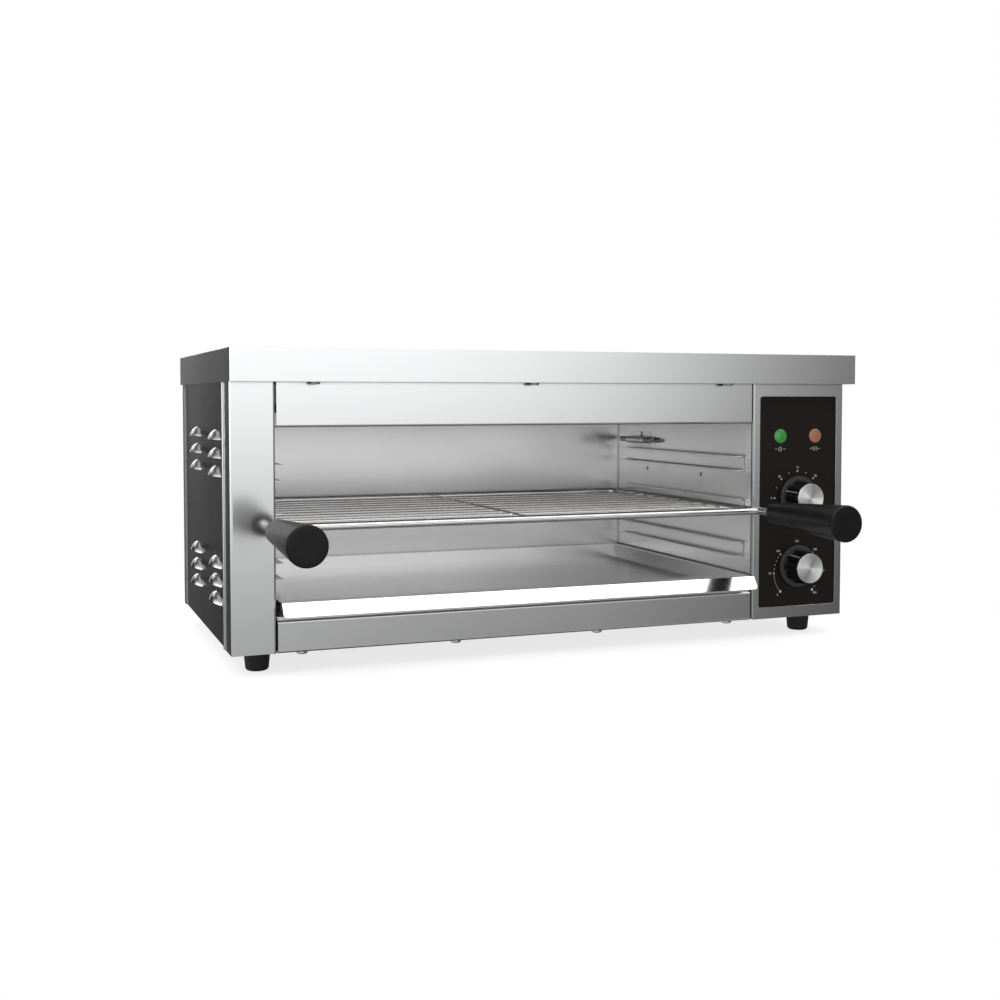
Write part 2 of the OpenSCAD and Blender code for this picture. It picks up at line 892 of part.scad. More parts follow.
// Straps under the elements, with their ends turned up to the reflector
module element_hanger() {
  strap_z = element_z - element_d / 2 - liner;
  front = leg_ys[0] - leg_pitch / 2;
  rear = leg_ys[3] + leg_pitch / 2;
  color(bright)
    placed()
      for (share = hanger_shares) {
        x = chamber_mid + share * chamber_w;
        block([x, front, strap_z], [x + hanger_w, rear, strap_z + liner]);
        for (y = [front, rear - liner])
          block([x, y, strap_z], [x + hanger_w, y + liner, reflector_z]);
      }
}

// Hexagon nuts that hold the elements' ends outside the right liner
module element_nuts()
  color(bright)
    placed()
      for (y = leg_ys)
        difference() {
          bar_to_right([chamber_r + liner, y, element_z], 2 * element_d, element_d / 2, $fn = 6);
          bar_to_right([chamber_r, y, element_z], element_d, element_d);
        }

// Bore of a control's bush, from the plate's front face
module bush_bore(z)
  bar_to_back([window_mid, 0, z], spindle_d + 2 * running, plate_back + spindle_in);

// Holes for the two screws that hold a control against the plate
module control_screw_holes(z)
  for (side = [-1, 1])
    bar_to_back([window_mid + side * control_screw_pitch / 2, 0, z], small_d,
                plate_back + 2 * small_head_d);

module thermostat_body()
  color(bright)
    placed()
      difference() {
        union() {
          block([window_mid - thermostat_w / 2, plate_back, thermostat_z - thermostat_h / 2],
                [window_mid + thermostat_w / 2, plate_back + thermostat_deep,
                 thermostat_z + thermostat_h / 2]);
          bar_to_back([window_mid, plate_y, thermostat_z], bush_d, plate_t + cut);
          bar_to_back([window_mid, plate_back + thermostat_deep - cut, thermostat_z],
                      thermostat_h * 0.7, cut + tab_l / 2);
          for (x = [-1, 1], z = [-1, 1])
            translate([window_mid + x * thermostat_w * 0.4, plate_back + thermostat_deep,
                       thermostat_z + z * thermostat_h * 0.3])
              tab();
        }
        bush_bore(thermostat_z);
        control_screw_holes(thermostat_z);
      }

module timer_body()
  color(bright)
    placed()
      difference() {
        union() {
          bar_to_back([window_mid, plate_back, timer_z], timer_d, timer_deep);
          bar_to_back([window_mid, plate_y, timer_z], bush_d, plate_t + cut);
          for (x = [-1, 0, 1])
            translate([window_mid + x * timer_d / 4, plate_back + timer_deep, timer_z])
              tab();
        }
        bush_bore(timer_z);
        control_screw_holes(timer_z);
      }

// Sensor bulb in the chamber, with its fine tube led back to the thermostat
module sensor_bulb()
  color("peru")
    placed() {
      bar_to_back([sensor_x, sensor_front, sensor_z], sensor_d, sensor_l);
      route([[sensor_x, sensor_front + cut, sensor_z], [sensor_x, capillary_y, sensor_z],
             [capillary_x, capillary_y, sensor_z], [capillary_x, capillary_front, sensor_z],
             [capillary_x, capillary_front, thermostat_z],
             [window_mid - thermostat_w / 2, capillary_front, thermostat_z]],
            capillary_r, capillary_d);
    }

// Clip on the right liner: a plate with a screw and a saddle round the bulb
module bulb_clip() {
  front = clip_y - clip_l / 2;
  outer = sensor_d + 2 * liner;
  color(bright)
    placed() {
      difference() {
        union() {
          block([chamber_r - liner, front, clip_foot], [chamber_r, front + clip_l, clip_foot + clip_h]);
          bar_to_back([sensor_x, front, sensor_z], outer, clip_l);
          block([sensor_x, front, sensor_z - outer / 2],
                [chamber_r, front + clip_l, sensor_z - outer / 2 + liner]);
        }
        bar_to_back([sensor_x, front - cut, sensor_z], sensor_d, clip_l + 2 * cut);
      }
      bar_to_right([chamber_r - liner - head_h / 2, clip_y, clip_screw_z], small_head_d,
                   (head_h + liner) / 2);
      bar_to_right([chamber_r - liner, clip_y, clip_screw_z], small_d, 5 * liner);
    }
}

// Lamps' and motors' supply terminals on the base pan
module terminal_block()
  color("white")
    placed()
      translate([gland_x - terminal_size.x / 2, case_d - 3 * terminal_size.y, pan_top])
        difference() {
          cube(terminal_size);
          for (i = [0:2]) {
            x = (i + 0.5) * terminal_size.x / 3;
            translate([x, -cut, terminal_size.z / 3])
              rotate([-90, 0, 0])
                cylinder(d = pin_d, h = terminal_size.y + 2 * cut);
            translate([x, terminal_size.y / 2, terminal_size.z / 3])
              cylinder(d = pin_d, h = terminal_size.z);
          }
        }

// Gland of the supply cord, clamped in the back panel
module cable_gland() {
  inner = gland_out - gland_l;
  color(black)
    placed()
      turned_to_back([gland_x, case_d, gland_z])
        polygon([[gland_bore_r, inner], [gland_r, inner], [gland_r, 0], [gland_rim_r, 0],
                 [gland_rim_r, gland_out / 3], [gland_r, 0.4 * gland_out], [gland_r, 0.8 * gland_out],
                 [0.85 * gland_r, gland_out], [gland_bore_r, gland_out]]);
}

module gland_nut()
  color(black)
    placed()
      difference() {
        bar_to_back([gland_x, case_d - sheet - gland_nut_h, gland_z], 2.4 * gland_rim_r, gland_nut_h,
                    $fn = 6);
        bar_to_back([gland_x, case_d - 2 * gland_l, gland_z], 2 * gland_r, 3 * gland_l);
      }

// Tapered rubber foot with a recess for its screw
module foot(i)
  color(rubber)
    placed()
      translate([foot_places[i].x, foot_places[i].y, 0])
        rotate_extrude()
          polygon(concat(
            [[recess_d / 2, 0]],
            [for (a = [-90:15:0])
              [foot_tip_d / 2 - foot_r + foot_r * cos(a), foot_r + foot_r * sin(a)]],
            [[foot_d / 2, pan_z], [hole_d / 2, pan_z], [hole_d / 2, recess_h], [recess_d / 2, recess_h]]));

module foot_front_left()
  foot(0);

module foot_rear_left()
  foot(1);

module foot_front_right()
  foot(2);

module foot_rear_right()
  foot(3);

module foot_screws()
  color(steel)
    placed()
      for (p = foot_places)
        translate([p.x, p.y, recess_h])
          screw(pan_top - recess_h);

module cover_screws()
  color(steel)
    placed()
      for (x = cover_screw_xs)
        translate([x, cover_screw_y, skirt_z])
          screw(2 * sheet, cover_head_d);

module base_screws()
  color(steel)
    placed()
      for (x = base_screw_xs)
        translate([x, base_screw_y, base_z])
          screw(pan_top - base_z);

module back_screws()
  color(steel)
    placed()
      for (p = back_screw_places)
        translate([p.x, case_d, p.y])
          rotate([90, 0, 0])
            screw(2 * sheet);

module control_screws()
  color(steel)
    placed()
      for (z = [timer_z, thermostat_z], side = [-1, 1])
        turned_to_back([window_mid + side * control_screw_pitch / 2, plate_y, z])
          countersunk(0, plate_t + small_head_d);

// Side rails and back bar of the rack, bent from one rod and butted to the front bar
module rack_hoop()
  color(bright)
    placed()
      difference() {
        route([[chamber_mid - rail_x, bar_y, rack_z], [chamber_mid - rail_x, hoop_back, rack_z],
               [chamber_mid + rail_x, hoop_back, rack_z], [chamber_mid + rail_x, bar_y, rack_z]],
              hoop_r, bar_d);
        bar_to_right([chamber_mid - handle_x, bar_y, rack_z], bar_d, 2 * handle_x);
      }

module rack_front_bar()
  color(bright)
    placed()
      difference() {
        bar_to_right([chamber_mid - handle_x, bar_y, rack_z], bar_d, 2 * handle_x);
        for (side = [-1, 1])
          bar_to_back([chamber_mid + side * handle_x, bar_y - bar_d, rack_z], stud_d, 2 * bar_d);
      }

// Thin wires across the rack, butted to the side rails and to the wire across their middle
module rack_wires()
  color(bright)
    placed()
      difference() {
        for (i = [0:wire_count - 1])
          bar_to_right([chamber_mid - rail_x, bar_y + wire_first + i * wire_pitch, rack_z],
                       wire_d, 2 * rail_x);
        for (side = [-1, 1])
          bar_to_back([chamber_mid + side * rail_x, bar_y, rack_z], bar_d, hoop_back);
        cross_bar();
      }

// Wire from the front bar to the hoop, across the thin wires' middles
module cross_bar()
  bar_to_back([chamber_mid, bar_y, rack_z], cross_d, hoop_back - bar_y);

module rack_cross_wire()
  color(bright)
    placed()
      difference() {
        cross_bar();
        for (y = [bar_y, hoop_back])
          bar_to_right([chamber_mid - rail_x, y, rack_z], bar_d, 2 * rail_x);
      }

// Ridged stud with a domed rear end, screwed into its handle
module stud(side) {
  r = stud_d / 2;
  rear = stud_gap;
  ridge = stud_ridge;
  first = 3 * r;
  ridges = floor((handle_stand - rear - first) / ridge);
  color(bright)
    placed()
      translate([chamber_mid + side * handle_x, -rear, rack_z])
        rotate([90, 0, 0])
          rotate_extrude()
            polygon(concat(
              [for (a = [-90:15:0]) [r * cos(a), r + r * sin(a)]],
              [for (i = [0:ridges - 1], share = ridge_shares)
                [r * (1 - share.x), first + (i + share.y) * ridge]],
              [[r, handle_stand - rear + stud_in], [0, handle_stand - rear + stud_in]]));
}

module stud_left()
  stud(-1);

module stud_right()
  stud(1);

// Tapered round handle with a blind hole for its stud
module handle(side) {
  edge = handle_edge_r;
  rear_r = handle_rear_d / 2;
  front_r = handle_front_d / 2;
  color(black)
    placed()
      translate([chamber_mid + side * handle_x, -handle_stand, rack_z])
        rotate([90, 0, 0])
          rotate_extrude()
            polygon(concat(
              [[stud_d / 2, 0]],
              [for (a = [-90:30:0]) [rear_r - edge + edge * cos(a), edge + edge * sin(a)]],
              [for (a = [0:15:90])
                [front_r - edge + edge * cos(a), handle_l - edge + edge * sin(a)]],
              [[0, handle_l], [0, stud_in], [stud_d / 2, stud_in]]));
}

module handle_left()
  handle(-1);

module handle_right()
  handle(1);

// Tapered block of the crumb tray: its outside, or its hollow when it is drawn inwards
module tray_form(inset) {
  side = inset * norm([tray_slope, tray_h]) / tray_h;
  z0 = tray_bottom + inset;
  z1 = tray_rim + inset;
  l = tray_l + rim_w + side;
  r = tray_r - rim_w - side;
  f = tray_front + side;
  b = tray_back - rim_w - side;
  intersection() {
    to_back(tray_front, tray_back - tray_front)
      polygon([[l + tray_slope, z0], [r - tray_slope, z0], [r, z1], [l, z1]]);
    to_right(tray_l, tray_r - tray_l)
      polygon([[f + tray_slope, z0], [b - tray_slope, z0], [b, z1], [f, z1]]);
  }
}

// Pressed crumb tray with a flat rim and a lip that slopes out in front of the case
module crumb_tray() {
  foot_z = tray_rim - lip_h;
  color(bright)
    placed()
      difference() {
        union() {
          tray_form(0);
          block([tray_l, tray_front - tray_t, tray_rim - tray_t], [tray_r, tray_back, tray_rim]);
          intersection() {
            to_right(tray_l, tray_r - tray_l)
              polygon([[tray_front, tray_rim], [-lip_top, tray_rim], [-lip_foot, foot_z],
                       [-lip_foot + lip_hem, foot_z], [-lip_foot + lip_hem, foot_z + tray_t],
                       [-lip_foot + 1.7 * tray_t, foot_z + tray_t],
                       [-lip_top + 0.7 * tray_t, tray_rim - tray_t], [tray_front, tray_rim - tray_t]]);
            to_back(-2 * lip_foot, 3 * lip_foot)
              translate([tray_l, foot_z])
                round_square([tray_r - tray_l, 2 * lip_h], lip_r);
          }
        }
        tray_form(tray_t);
      }
}

// Control knob: a flat skirt and a fluted grip, bored for its spindle
module knob(z)
  color(black)
    placed()
      translate([window_mid, knob_y, z])
        rotate([90, 0, 0])
          difference() {
            union() {
              rotate_extrude()
                polygon([[0, 0], [skirt_d / 2, 0], [skirt_d / 2, skirt_t - skirt_edge],
                         [skirt_d / 2 - skirt_edge, skirt_t], [0, skirt_t]]);
              difference() {
                rotate_extrude()
                  polygon([[0, skirt_t / 2], [grip_d / 2, skirt_t / 2],
                           [grip_tip_d / 2, grip_h - skirt_edge],
                           [grip_tip_d / 2 - skirt_edge, grip_h], [0, grip_h]]);
                for (i = [0:flutes - 1])
                  rotate([0, 0, (i + 0.5) * 360 / flutes])
                    translate([grip_d / 2 + flute_r - flute_depth, 0, 0])
                      cylinder(r = flute_r, h = knob_h);
              }
            }
            translate([0, 0, -cut])
              cylinder(d = spindle_d, h = spindle_out + cut);
          }

// Thin metal disc on a knob's front face, with a shallow dish inside its rim
module knob_cap(z)
  color(bright)
    placed()
      translate([window_mid, knob_y - grip_h, z])
        rotate([90, 0, 0])
          rotate_extrude()
            polygon([[0, 0], [cap_d / 2, 0], [cap_d / 2, cap_t - cap_edge], [cap_d / 2 - cap_edge, cap_t],
                     [cap_d / 2 - 3 * cap_edge, cap_t], [cap_d / 2 - 4 * cap_edge, cap_t - cap_edge / 2],
                     [0, cap_t - cap_edge / 2]]);

// Spindle from the knob into the control's bush
module spindle(z)
  color(steel)
    placed()
      bar_to_back([window_mid, knob_y - spindle_out, z], spindle_d,
                  spindle_out + plate_back - knob_y + spindle_in - cut);

module timer_knob()
  knob(timer_z);

module timer_cap()
  knob_cap(timer_z);

module timer_spindle()
  spindle(timer_z);

module thermostat_knob()
  knob(thermostat_z);

module thermostat_cap()
  knob_cap(thermostat_z);

module thermostat_spindle()
  spindle(thermostat_z);

top_cover();
left_casing();
left_side_panel();
right_side_panel();
back_panel();
base_pan();
upper_fascia();
lower_fascia();
control_housing();
control_plate();
power_lamp();
heat_lamp();
left_liner();
right_liner();
back_liner();
left_runners();
right_runners();
chamber_floor();
reflector();
insulation();
front_element();
rear_element();
element_hanger();
element_nuts();
thermostat_body();
sensor_bulb();
bulb_clip();
timer_body();
terminal_block();
cable_gland();
gland_nut();
foot_front_left();
foot_front_right();
foot_rear_left();
foot_rear_right();
foot_screws();
cover_brackets();
cover_screws();
base_screws();
back_screws();
control_screws();
rack_hoop();
rack_front_bar();
rack_wires();
rack_cross_wire();
stud_left();
stud_right();
handle_left();
handle_right();
crumb_tray();
timer_knob();
timer_cap();
timer_spindle();
thermostat_knob();
thermostat_cap();
thermostat_spindle();
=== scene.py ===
"""Electric cheese melter: finishes, fine pieces, camera and light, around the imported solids."""
from functools import partialmethod
from math import cos, pi, radians, sin, sqrt

import bmesh
import bpy
from mathutils import Matrix, Vector, geometry


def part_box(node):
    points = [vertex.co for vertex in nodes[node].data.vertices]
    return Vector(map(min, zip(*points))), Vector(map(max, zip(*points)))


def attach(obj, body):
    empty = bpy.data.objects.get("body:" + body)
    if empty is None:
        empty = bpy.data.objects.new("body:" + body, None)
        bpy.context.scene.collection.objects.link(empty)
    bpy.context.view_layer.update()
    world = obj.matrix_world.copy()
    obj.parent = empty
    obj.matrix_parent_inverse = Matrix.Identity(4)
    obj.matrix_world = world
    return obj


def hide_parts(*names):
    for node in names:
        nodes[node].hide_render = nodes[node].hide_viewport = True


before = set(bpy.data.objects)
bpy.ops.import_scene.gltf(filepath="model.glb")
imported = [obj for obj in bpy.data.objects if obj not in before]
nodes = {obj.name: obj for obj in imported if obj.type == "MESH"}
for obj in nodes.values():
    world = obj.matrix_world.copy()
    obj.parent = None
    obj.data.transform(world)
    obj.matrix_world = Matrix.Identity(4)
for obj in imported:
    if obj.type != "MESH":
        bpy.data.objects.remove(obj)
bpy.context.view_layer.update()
MM = 0.001
TURN = 2 * pi


def middle(node):
    low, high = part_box(node)
    return (low + high) / 2


def round_solid(node):
    """Centre, radius, front and rear of a solid with its axis along Y"""
    low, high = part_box(node)
    return middle(node), (high.x - low.x) / 2, low.y, high.y


def place_object(name, data):
    """A new object of the scene"""
    piece = bpy.data.objects.new(name, data)
    bpy.context.scene.collection.objects.link(piece)
    return piece


# -------- node trees


class Wiring:
    """Adds nodes to a tree and joins them; an input may be given a plain value or a Term."""

    def __init__(self, tree):
        self.tree = tree

    def add(self, kind, sockets=(), **settings):
        node = self.tree.nodes.new(kind)
        for name, value in settings.items():
            setattr(node, name, value)
        for name, value in dict(sockets).items():
            self.feed(node.inputs[name], value)
        return node

    def feed(self, socket, value):
        if isinstance(value, Term):
            self.tree.links.new(value.socket, socket)
        else:
            socket.default_value = value

    def fill(self, node, **values):
        """Feeds a node's inputs by name, with _ for a space"""
        for name, value in values.items():
            self.feed(node.inputs[name.replace("_", " ")], value)

    def term(self, kind, sockets=(), output=0, **settings):
        return Term(self, self.add(kind, sockets, **settings).outputs[output])

    def place(self):
        return self.term("ShaderNodeTexCoord", output="Object")

    def normal(self):
        return self.term("ShaderNodeNewGeometry", output="Normal")

    def vector(self, x, y, z):
        return self.term("ShaderNodeCombineXYZ", {"X": x, "Y": y, "Z": z})

    def noise(self, place, scale, detail, **more):
        return self.term("ShaderNodeTexNoise",
                         {"Vector": place, "Scale": scale, "Detail": detail, **more})

    def bump(self, height, strength, distance, **more):
        return self.term("ShaderNodeBump", {"Height": height, "Strength": strength,
                                            "Distance": distance, **more})

    def blend(self, share, a, b):
        """Colour a where the share is 0 and b where it is 1"""
        node = self.add("ShaderNodeMix", data_type="RGBA")
        self.feed(node.inputs[0], share)
        for socket, colour in ((node.inputs[6], a), (node.inputs[7], b)):
            self.feed(socket, colour if isinstance(colour, Term) else (*colour, 1))
        return Term(self, node.outputs[2])

    def mix_shaders(self, share, a, b):
        """Shader a where the share is 0 and b where it is 1"""
        node = self.add("ShaderNodeMixShader")
        for socket, value in zip(node.inputs, (share, a, b)):
            self.feed(socket, value)
        return Term(self, node.outputs[0])


class Term:
    """A node's output. Its sums, products and the like are written as such; each makes a node."""

    def __init__(self, wiring, socket):
        self.wiring = wiring
        self.socket = socket

    def math(self, operation, *others):
        node = self.wiring.add("ShaderNodeMath", operation=operation)
        for socket, value in zip(node.inputs, (self, *others)):
            self.wiring.feed(socket, value)
        return Term(self.wiring, node.outputs[0])

    __add__ = __radd__ = partialmethod(math, "ADD")
    __sub__ = partialmethod(math, "SUBTRACT")
    __mul__ = __rmul__ = partialmethod(math, "MULTIPLY")
    __truediv__ = partialmethod(math, "DIVIDE")

    def __rsub__(self, other):
        return self * -1 + other

    def ramp(self, low, high, to_low=0.0, to_high=1.0):
        """Smooth step from to_low at low to to_high at high"""
        return self.wiring.term(
            "ShaderNodeMapRange",
            {"Value": self, "From Min": low, "From Max": high, "To Min": to_low, "To Max": to_high},
            interpolation_type="SMOOTHSTEP")

    def axes(self):
        node = self.wiring.add("ShaderNodeSeparateXYZ", {"Vector": self})
        return [Term(self.wiring, socket) for socket in node.outputs]


KINDS = {float: "Float", int: "Int", tuple: "Vector"}


def new_group(name, inputs, outputs, tree_type="ShaderNodeTree", kind="Float"):
    """A node group; an input is given its default or the word for its kind. Returns the group's
    wiring, its inputs as terms by name, and its end node"""
    tree = bpy.data.node_groups.new(name, tree_type)
    for label, value in inputs.items():
        word = value if isinstance(value, str) else KINDS[type(value)]
        socket = tree.interface.new_socket(label, in_out="INPUT", socket_type="NodeSocket" + word)
        if word != value:
            socket.default_value = value
    for label in outputs:
        tree.interface.new_socket(label, in_out="OUTPUT", socket_type="NodeSocket" + kind)
    wiring = Wiring(tree)
    start = wiring.add("NodeGroupInput")
    given = {s.name: Term(wiring, s) for s in start.outputs if s.name}
    return wiring, given, wiring.add("NodeGroupOutput")


def cleared(owner):
    """Wiring of a material's or a world's emptied tree"""
    owner.use_nodes = True
    owner.node_tree.nodes.clear()
    return Wiring(owner.node_tree)


# -------- effects that several finishes share


def rolled_grain():
    """Fine lines along one direction, as rolling and brushing leave them in sheet metal"""
    w, given, end = new_group(
        "rolled grain",
        {"Stretch": (20, 2500, 2500), "Roughness": 0.25, "Grain": 0.06, "Smears": 0.04},
        ("Roughness", "Height", "Shade", "Crevice"))
    place = w.place()
    stretched = w.term("ShaderNodeVectorMath", {0: place, 1: given["Stretch"]},
                       operation="MULTIPLY")
    lines, clouds = w.noise(stretched, 1.0, 3.0, Roughness=0.6), w.noise(place, 7.0, 3.0)
    rough = (given["Roughness"] + (lines - 0.5) * given["Grain"]
             + (clouds - 0.5) * given["Smears"])
    # Painted shade: ambient occlusion gives how far a point lies in a crevice, for a darker colour
    # there
    openness = w.term("ShaderNodeAmbientOcclusion", {"Distance": 0.007}, output="AO", samples=6)
    w.fill(end, Roughness=rough.math("MAXIMUM", 0.03), Height=lines,
           Shade=(lines - 0.5) * 0.03 + (clouds - 0.5) * 0.03 + 0.98,
           Crevice=openness.ramp(0.75, 0.2))
    return w.tree


def moulded_skin():
    """Fine pebbling of moulded plastic and rubber, with a thin film of dust on what faces up"""
    w, given, end = new_group(
        "moulded skin", {"Pebbles": 1800.0, "Roughness": 0.4, "Spread": 0.1, "Dust": 0.04},
        ("Roughness", "Height", "Dust"))
    place = w.place()
    pebbles, clouds = w.noise(place, given["Pebbles"], 2.0), w.noise(place, 60.0, 4.0)
    up = w.normal().axes()[2].ramp(0.2, 1.0)
    w.fill(end, Height=pebbles, Dust=up * clouds * given["Dust"],
           Roughness=(given["Roughness"] + (pebbles - 0.5) * given["Spread"]
                      + (clouds - 0.5) * given["Spread"]))
    return w.tree


def worn_edge():
    """Mask of the sharp outer edges, broken up by noise"""
    w, given, end = new_group("worn edge", {"Width": 0.0006, "Amount": 1.0}, ("Mask",))
    rounded = w.term("ShaderNodeBevel", {"Radius": given["Width"]}, samples=4)
    same = w.term("ShaderNodeVectorMath", {0: rounded, 1: w.normal()}, output="Value",
                  operation="DOT_PRODUCT")
    edge = same.ramp(0.98, 0.75) * w.noise(w.place(), 400.0, 3.0).ramp(0.35, 0.65)
    w.fill(end, Mask=(edge * given["Amount"]).math("MINIMUM", 1.0))
    return w.tree


GRAIN, SKIN, WEAR = rolled_grain(), moulded_skin(), worn_edge()
ALONG_X, ALONG_Y, ALONG_Z = (12, 2600, 2600), (2600, 12, 2600), (2600, 2600, 12)


def use(wiring, group, **values):
    """Places a group, and returns its outputs by name"""
    node = wiring.add("ShaderNodeGroup", node_tree=group)
    wiring.fill(node, **values)
    return {s.name: Term(wiring, s) for s in node.outputs}


# -------- finishes


def grey(level):
    return (level, level, level)


def new_finish(name, colour, **plain):
    """A material with one Principled shader; plain values stand on the shader's own sockets"""
    material = bpy.data.materials.new(name)
    w = cleared(material)
    shader = w.add("ShaderNodeBsdfPrincipled", {"Base Color": (*colour, 1)})
    w.fill(shader, **plain)
    w.add("ShaderNodeOutputMaterial", {"Surface": Term(w, shader.outputs[0])})
    return material, w, shader


# Painted shade for crevices; the edge colour darkens sheared edges, and is painted shade along the
# housing's fold
PAINTED_CREVICE_SHADE, SHEARED_EDGE_AND_PAINTED_SHADE, DUSTY, WORN = grey(0.05), grey(0.08), (0.5, 0.48, 0.45), grey(0.09)


def sheet_steel(name, colour, roughness, stretch, grain=0.05, smears=0.04, crevice_shade=0.55,
                cut=None, bend=None, **plain):
    """Stainless sheet with a grain along one direction and rounded edges, with painted shade in
    crevices
    """
    material, w, shader = new_finish(name, colour, **{"Metallic": 1.0, **plain})
    effect = use(w, GRAIN, Stretch=stretch, Roughness=roughness, Grain=grain, Smears=smears)
    dark = tuple(0.92 * c for c in colour)
    shade = w.blend(effect["Shade"].ramp(0.94, 1.02), dark, colour)
    # Painted shade: darker in crevices
    shade = w.blend(effect["Crevice"] * crevice_shade, shade, PAINTED_CREVICE_SHADE)
    rough = effect["Roughness"]
    if cut:
        # The sheared edges that face the front are duller than the sheet
        sheared = (w.normal().axes()[1] * -1).ramp(0.6, 0.9)
        shade = w.blend(sheared * cut, shade, SHEARED_EDGE_AND_PAINTED_SHADE)
        rough = rough + sheared * 0.25
    if bend:
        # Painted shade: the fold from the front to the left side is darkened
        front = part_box("control_housing")[0].y
        near = w.place().axes()[1].ramp(front + 0.0022, front + 0.0032, 1.0, 0.0)
        painted_fold_shade = (w.normal().axes()[0] * -1).ramp(0.1, 0.4) * near
        shade = w.blend(painted_fold_shade * bend, shade, SHEARED_EDGE_AND_PAINTED_SHADE)
    rounded = w.term("ShaderNodeBevel", {"Radius": 0.0005}, samples=3)
    w.fill(shader, Base_Color=shade, Roughness=rough,
           Normal=w.bump(effect["Height"], 0.006, 0.0002, Normal=rounded))
    return material


def tray_steel():
    """Pressed tray: its front lip is polished, and its inside is brushed"""
    colour, lip_end, inside_start = grey(0.88), -0.0935, -0.0915
    material, w, shader = new_finish("tray sheet", colour)
    effect = use(w, GRAIN, Stretch=ALONG_X, Roughness=0.09, Grain=0.03, Smears=0.03)
    inside = w.place().axes()[1].ramp(lip_end, inside_start)
    x, y, z = w.normal().axes()
    rear = (y * -1).ramp(0.3, 0.6) * inside
    # The soft bend of the rear wall reads as upright from the front
    upright = w.term("ShaderNodeVectorMath", {0: w.vector(x, y - rear, z * (1 - rear))},
                     operation="NORMALIZE")
    # Painted shade darkens its crevices
    w.fill(shader, Base_Color=w.blend(effect["Crevice"] * 0.4, colour, PAINTED_CREVICE_SHADE),
           Roughness=effect["Roughness"] + inside * 0.15,
           Metallic=1 - inside * 0.12 * (1 - rear),
           Normal=w.bump(effect["Height"], 0.005, 0.0002, Normal=upright))
    return material


def moulded(name, colour, roughness, dust=0.04, spread=0.12, pebbles=1800.0, depth=0.08,
            wear=0.0, **plain):
    """Plastic or rubber with a fine skin, dust and lighter edges"""
    material, w, shader = new_finish(name, colour, **plain)
    effect = use(w, SKIN, Pebbles=pebbles, Roughness=roughness, Spread=spread, Dust=dust)
    shade = w.blend(effect["Dust"], colour, DUSTY)
    if wear:
        shade = w.blend(use(w, WEAR, Amount=wear)["Mask"], shade, WORN)
    w.fill(shader, Base_Color=shade, Roughness=effect["Roughness"],
           Normal=w.bump(effect["Height"], depth, 0.0001))
    return material


def heated_tube():
    """Dark oxide of a heating element, mottled and slightly brown"""
    material, w, shader = new_finish("heated tube", (0.1, 0.09, 0.08), Metallic=0.85)
    spots = w.noise(w.place(), 130.0, 6.0, Roughness=0.7)
    w.fill(shader, Roughness=spots * 0.3 + 0.35, Normal=w.bump(spots, 0.25, 0.0003),
           Base_Color=w.blend(spots.ramp(0.35, 0.65), (0.05, 0.045, 0.045), (0.17, 0.13, 0.105)))
    return material


def mineral_blanket():
    """Matted fibres"""
    material, w, shader = new_finish("mineral blanket", (0.6, 0.55, 0.4))
    fibres = w.noise(w.place(), 420.0, 8.0, Distortion=2.5)
    w.fill(shader, Roughness=fibres * 0.2 + 0.75, Normal=w.bump(fibres, 0.8, 0.001),
           Base_Color=w.blend(fibres.ramp(0.3, 0.7), (0.42, 0.37, 0.24), (0.78, 0.72, 0.56)))
    return material


def spun_metal():
    """Aluminium disc turned on a lathe: its fine rings draw the light out into wedges, and a
    painted sheen in wedges adds to them
    """
    material, w, shader = new_finish("spun aluminium", (0.8, 0.8, 0.81), Metallic=1.0,
                                     Anisotropic=0.9, Anisotropic_Rotation=0.25)
    x, _, z = w.place().axes()
    timer, heat = middle("timer_cap"), middle("thermostat_cap")
    # Both discs are on one vertical line, so each point belongs to the nearer centre
    upper = z.math("GREATER_THAN", (timer.z + heat.z) / 2)
    across, rise = x - timer.x, z - heat.z - upper * (timer.z - heat.z)
    reach = (across * across + rise * rise).math("SQRT")
    angle = rise.math("ARCTAN2", across)
    rings = w.noise(w.vector(reach * 6000, 0.0, 0.0), 1.0, 1.0)
    rays = w.noise(w.vector(angle.math("COSINE") * 5, 0.0, angle.math("SINE") * 5), 1.0, 3.0)
    # Painted sheen: the colour is lighter at 3 and 9 o'clock and darker at 12 and 6 o'clock, with
    # streaks along the radius, where the turned rings catch the light
    painted_sheen_sectors = ((angle * 2).math("COSINE") * 0.5 + 0.5) * 0.75 + rays * 0.5 - 0.1
    w.fill(shader, Base_Color=w.blend(painted_sheen_sectors, (0.55, 0.55, 0.555), grey(1.0)),
           Roughness=rings * 0.06 + 0.42,
           Tangent=w.term("ShaderNodeTangent", direction_type="RADIAL", axis="Y"))
    return material


def lens(name, colour, deep):
    """Coloured lamp lens with a fine grid of prisms on its inside"""
    material, w, shader = new_finish(name, colour, Roughness=0.22, IOR=1.5, Coat_Weight=0.6,
                                     Coat_Roughness=0.08)
    x, _, z = w.place().axes()
    waves = TURN / (1.6 * MM)
    prisms = (((x + z) * waves).math("SINE") * ((x - z) * waves).math("SINE")) * 0.5 + 0.5
    rim = w.term("ShaderNodeLayerWeight", {"Blend": 0.35}, output="Facing")
    # Painted light and shade: the colour follows the grid of prisms, and is darker towards the rim
    # as the lens turns away from the view
    share = prisms * 0.45 + w.noise(w.place(), 420.0, 2.0) * 0.9 - 0.15 - rim * 0.5
    w.fill(shader, Base_Color=w.blend(share.math("MAXIMUM", 0.0), deep, colour),
           Normal=w.bump(prisms, 0.25, 0.0002))
    return material


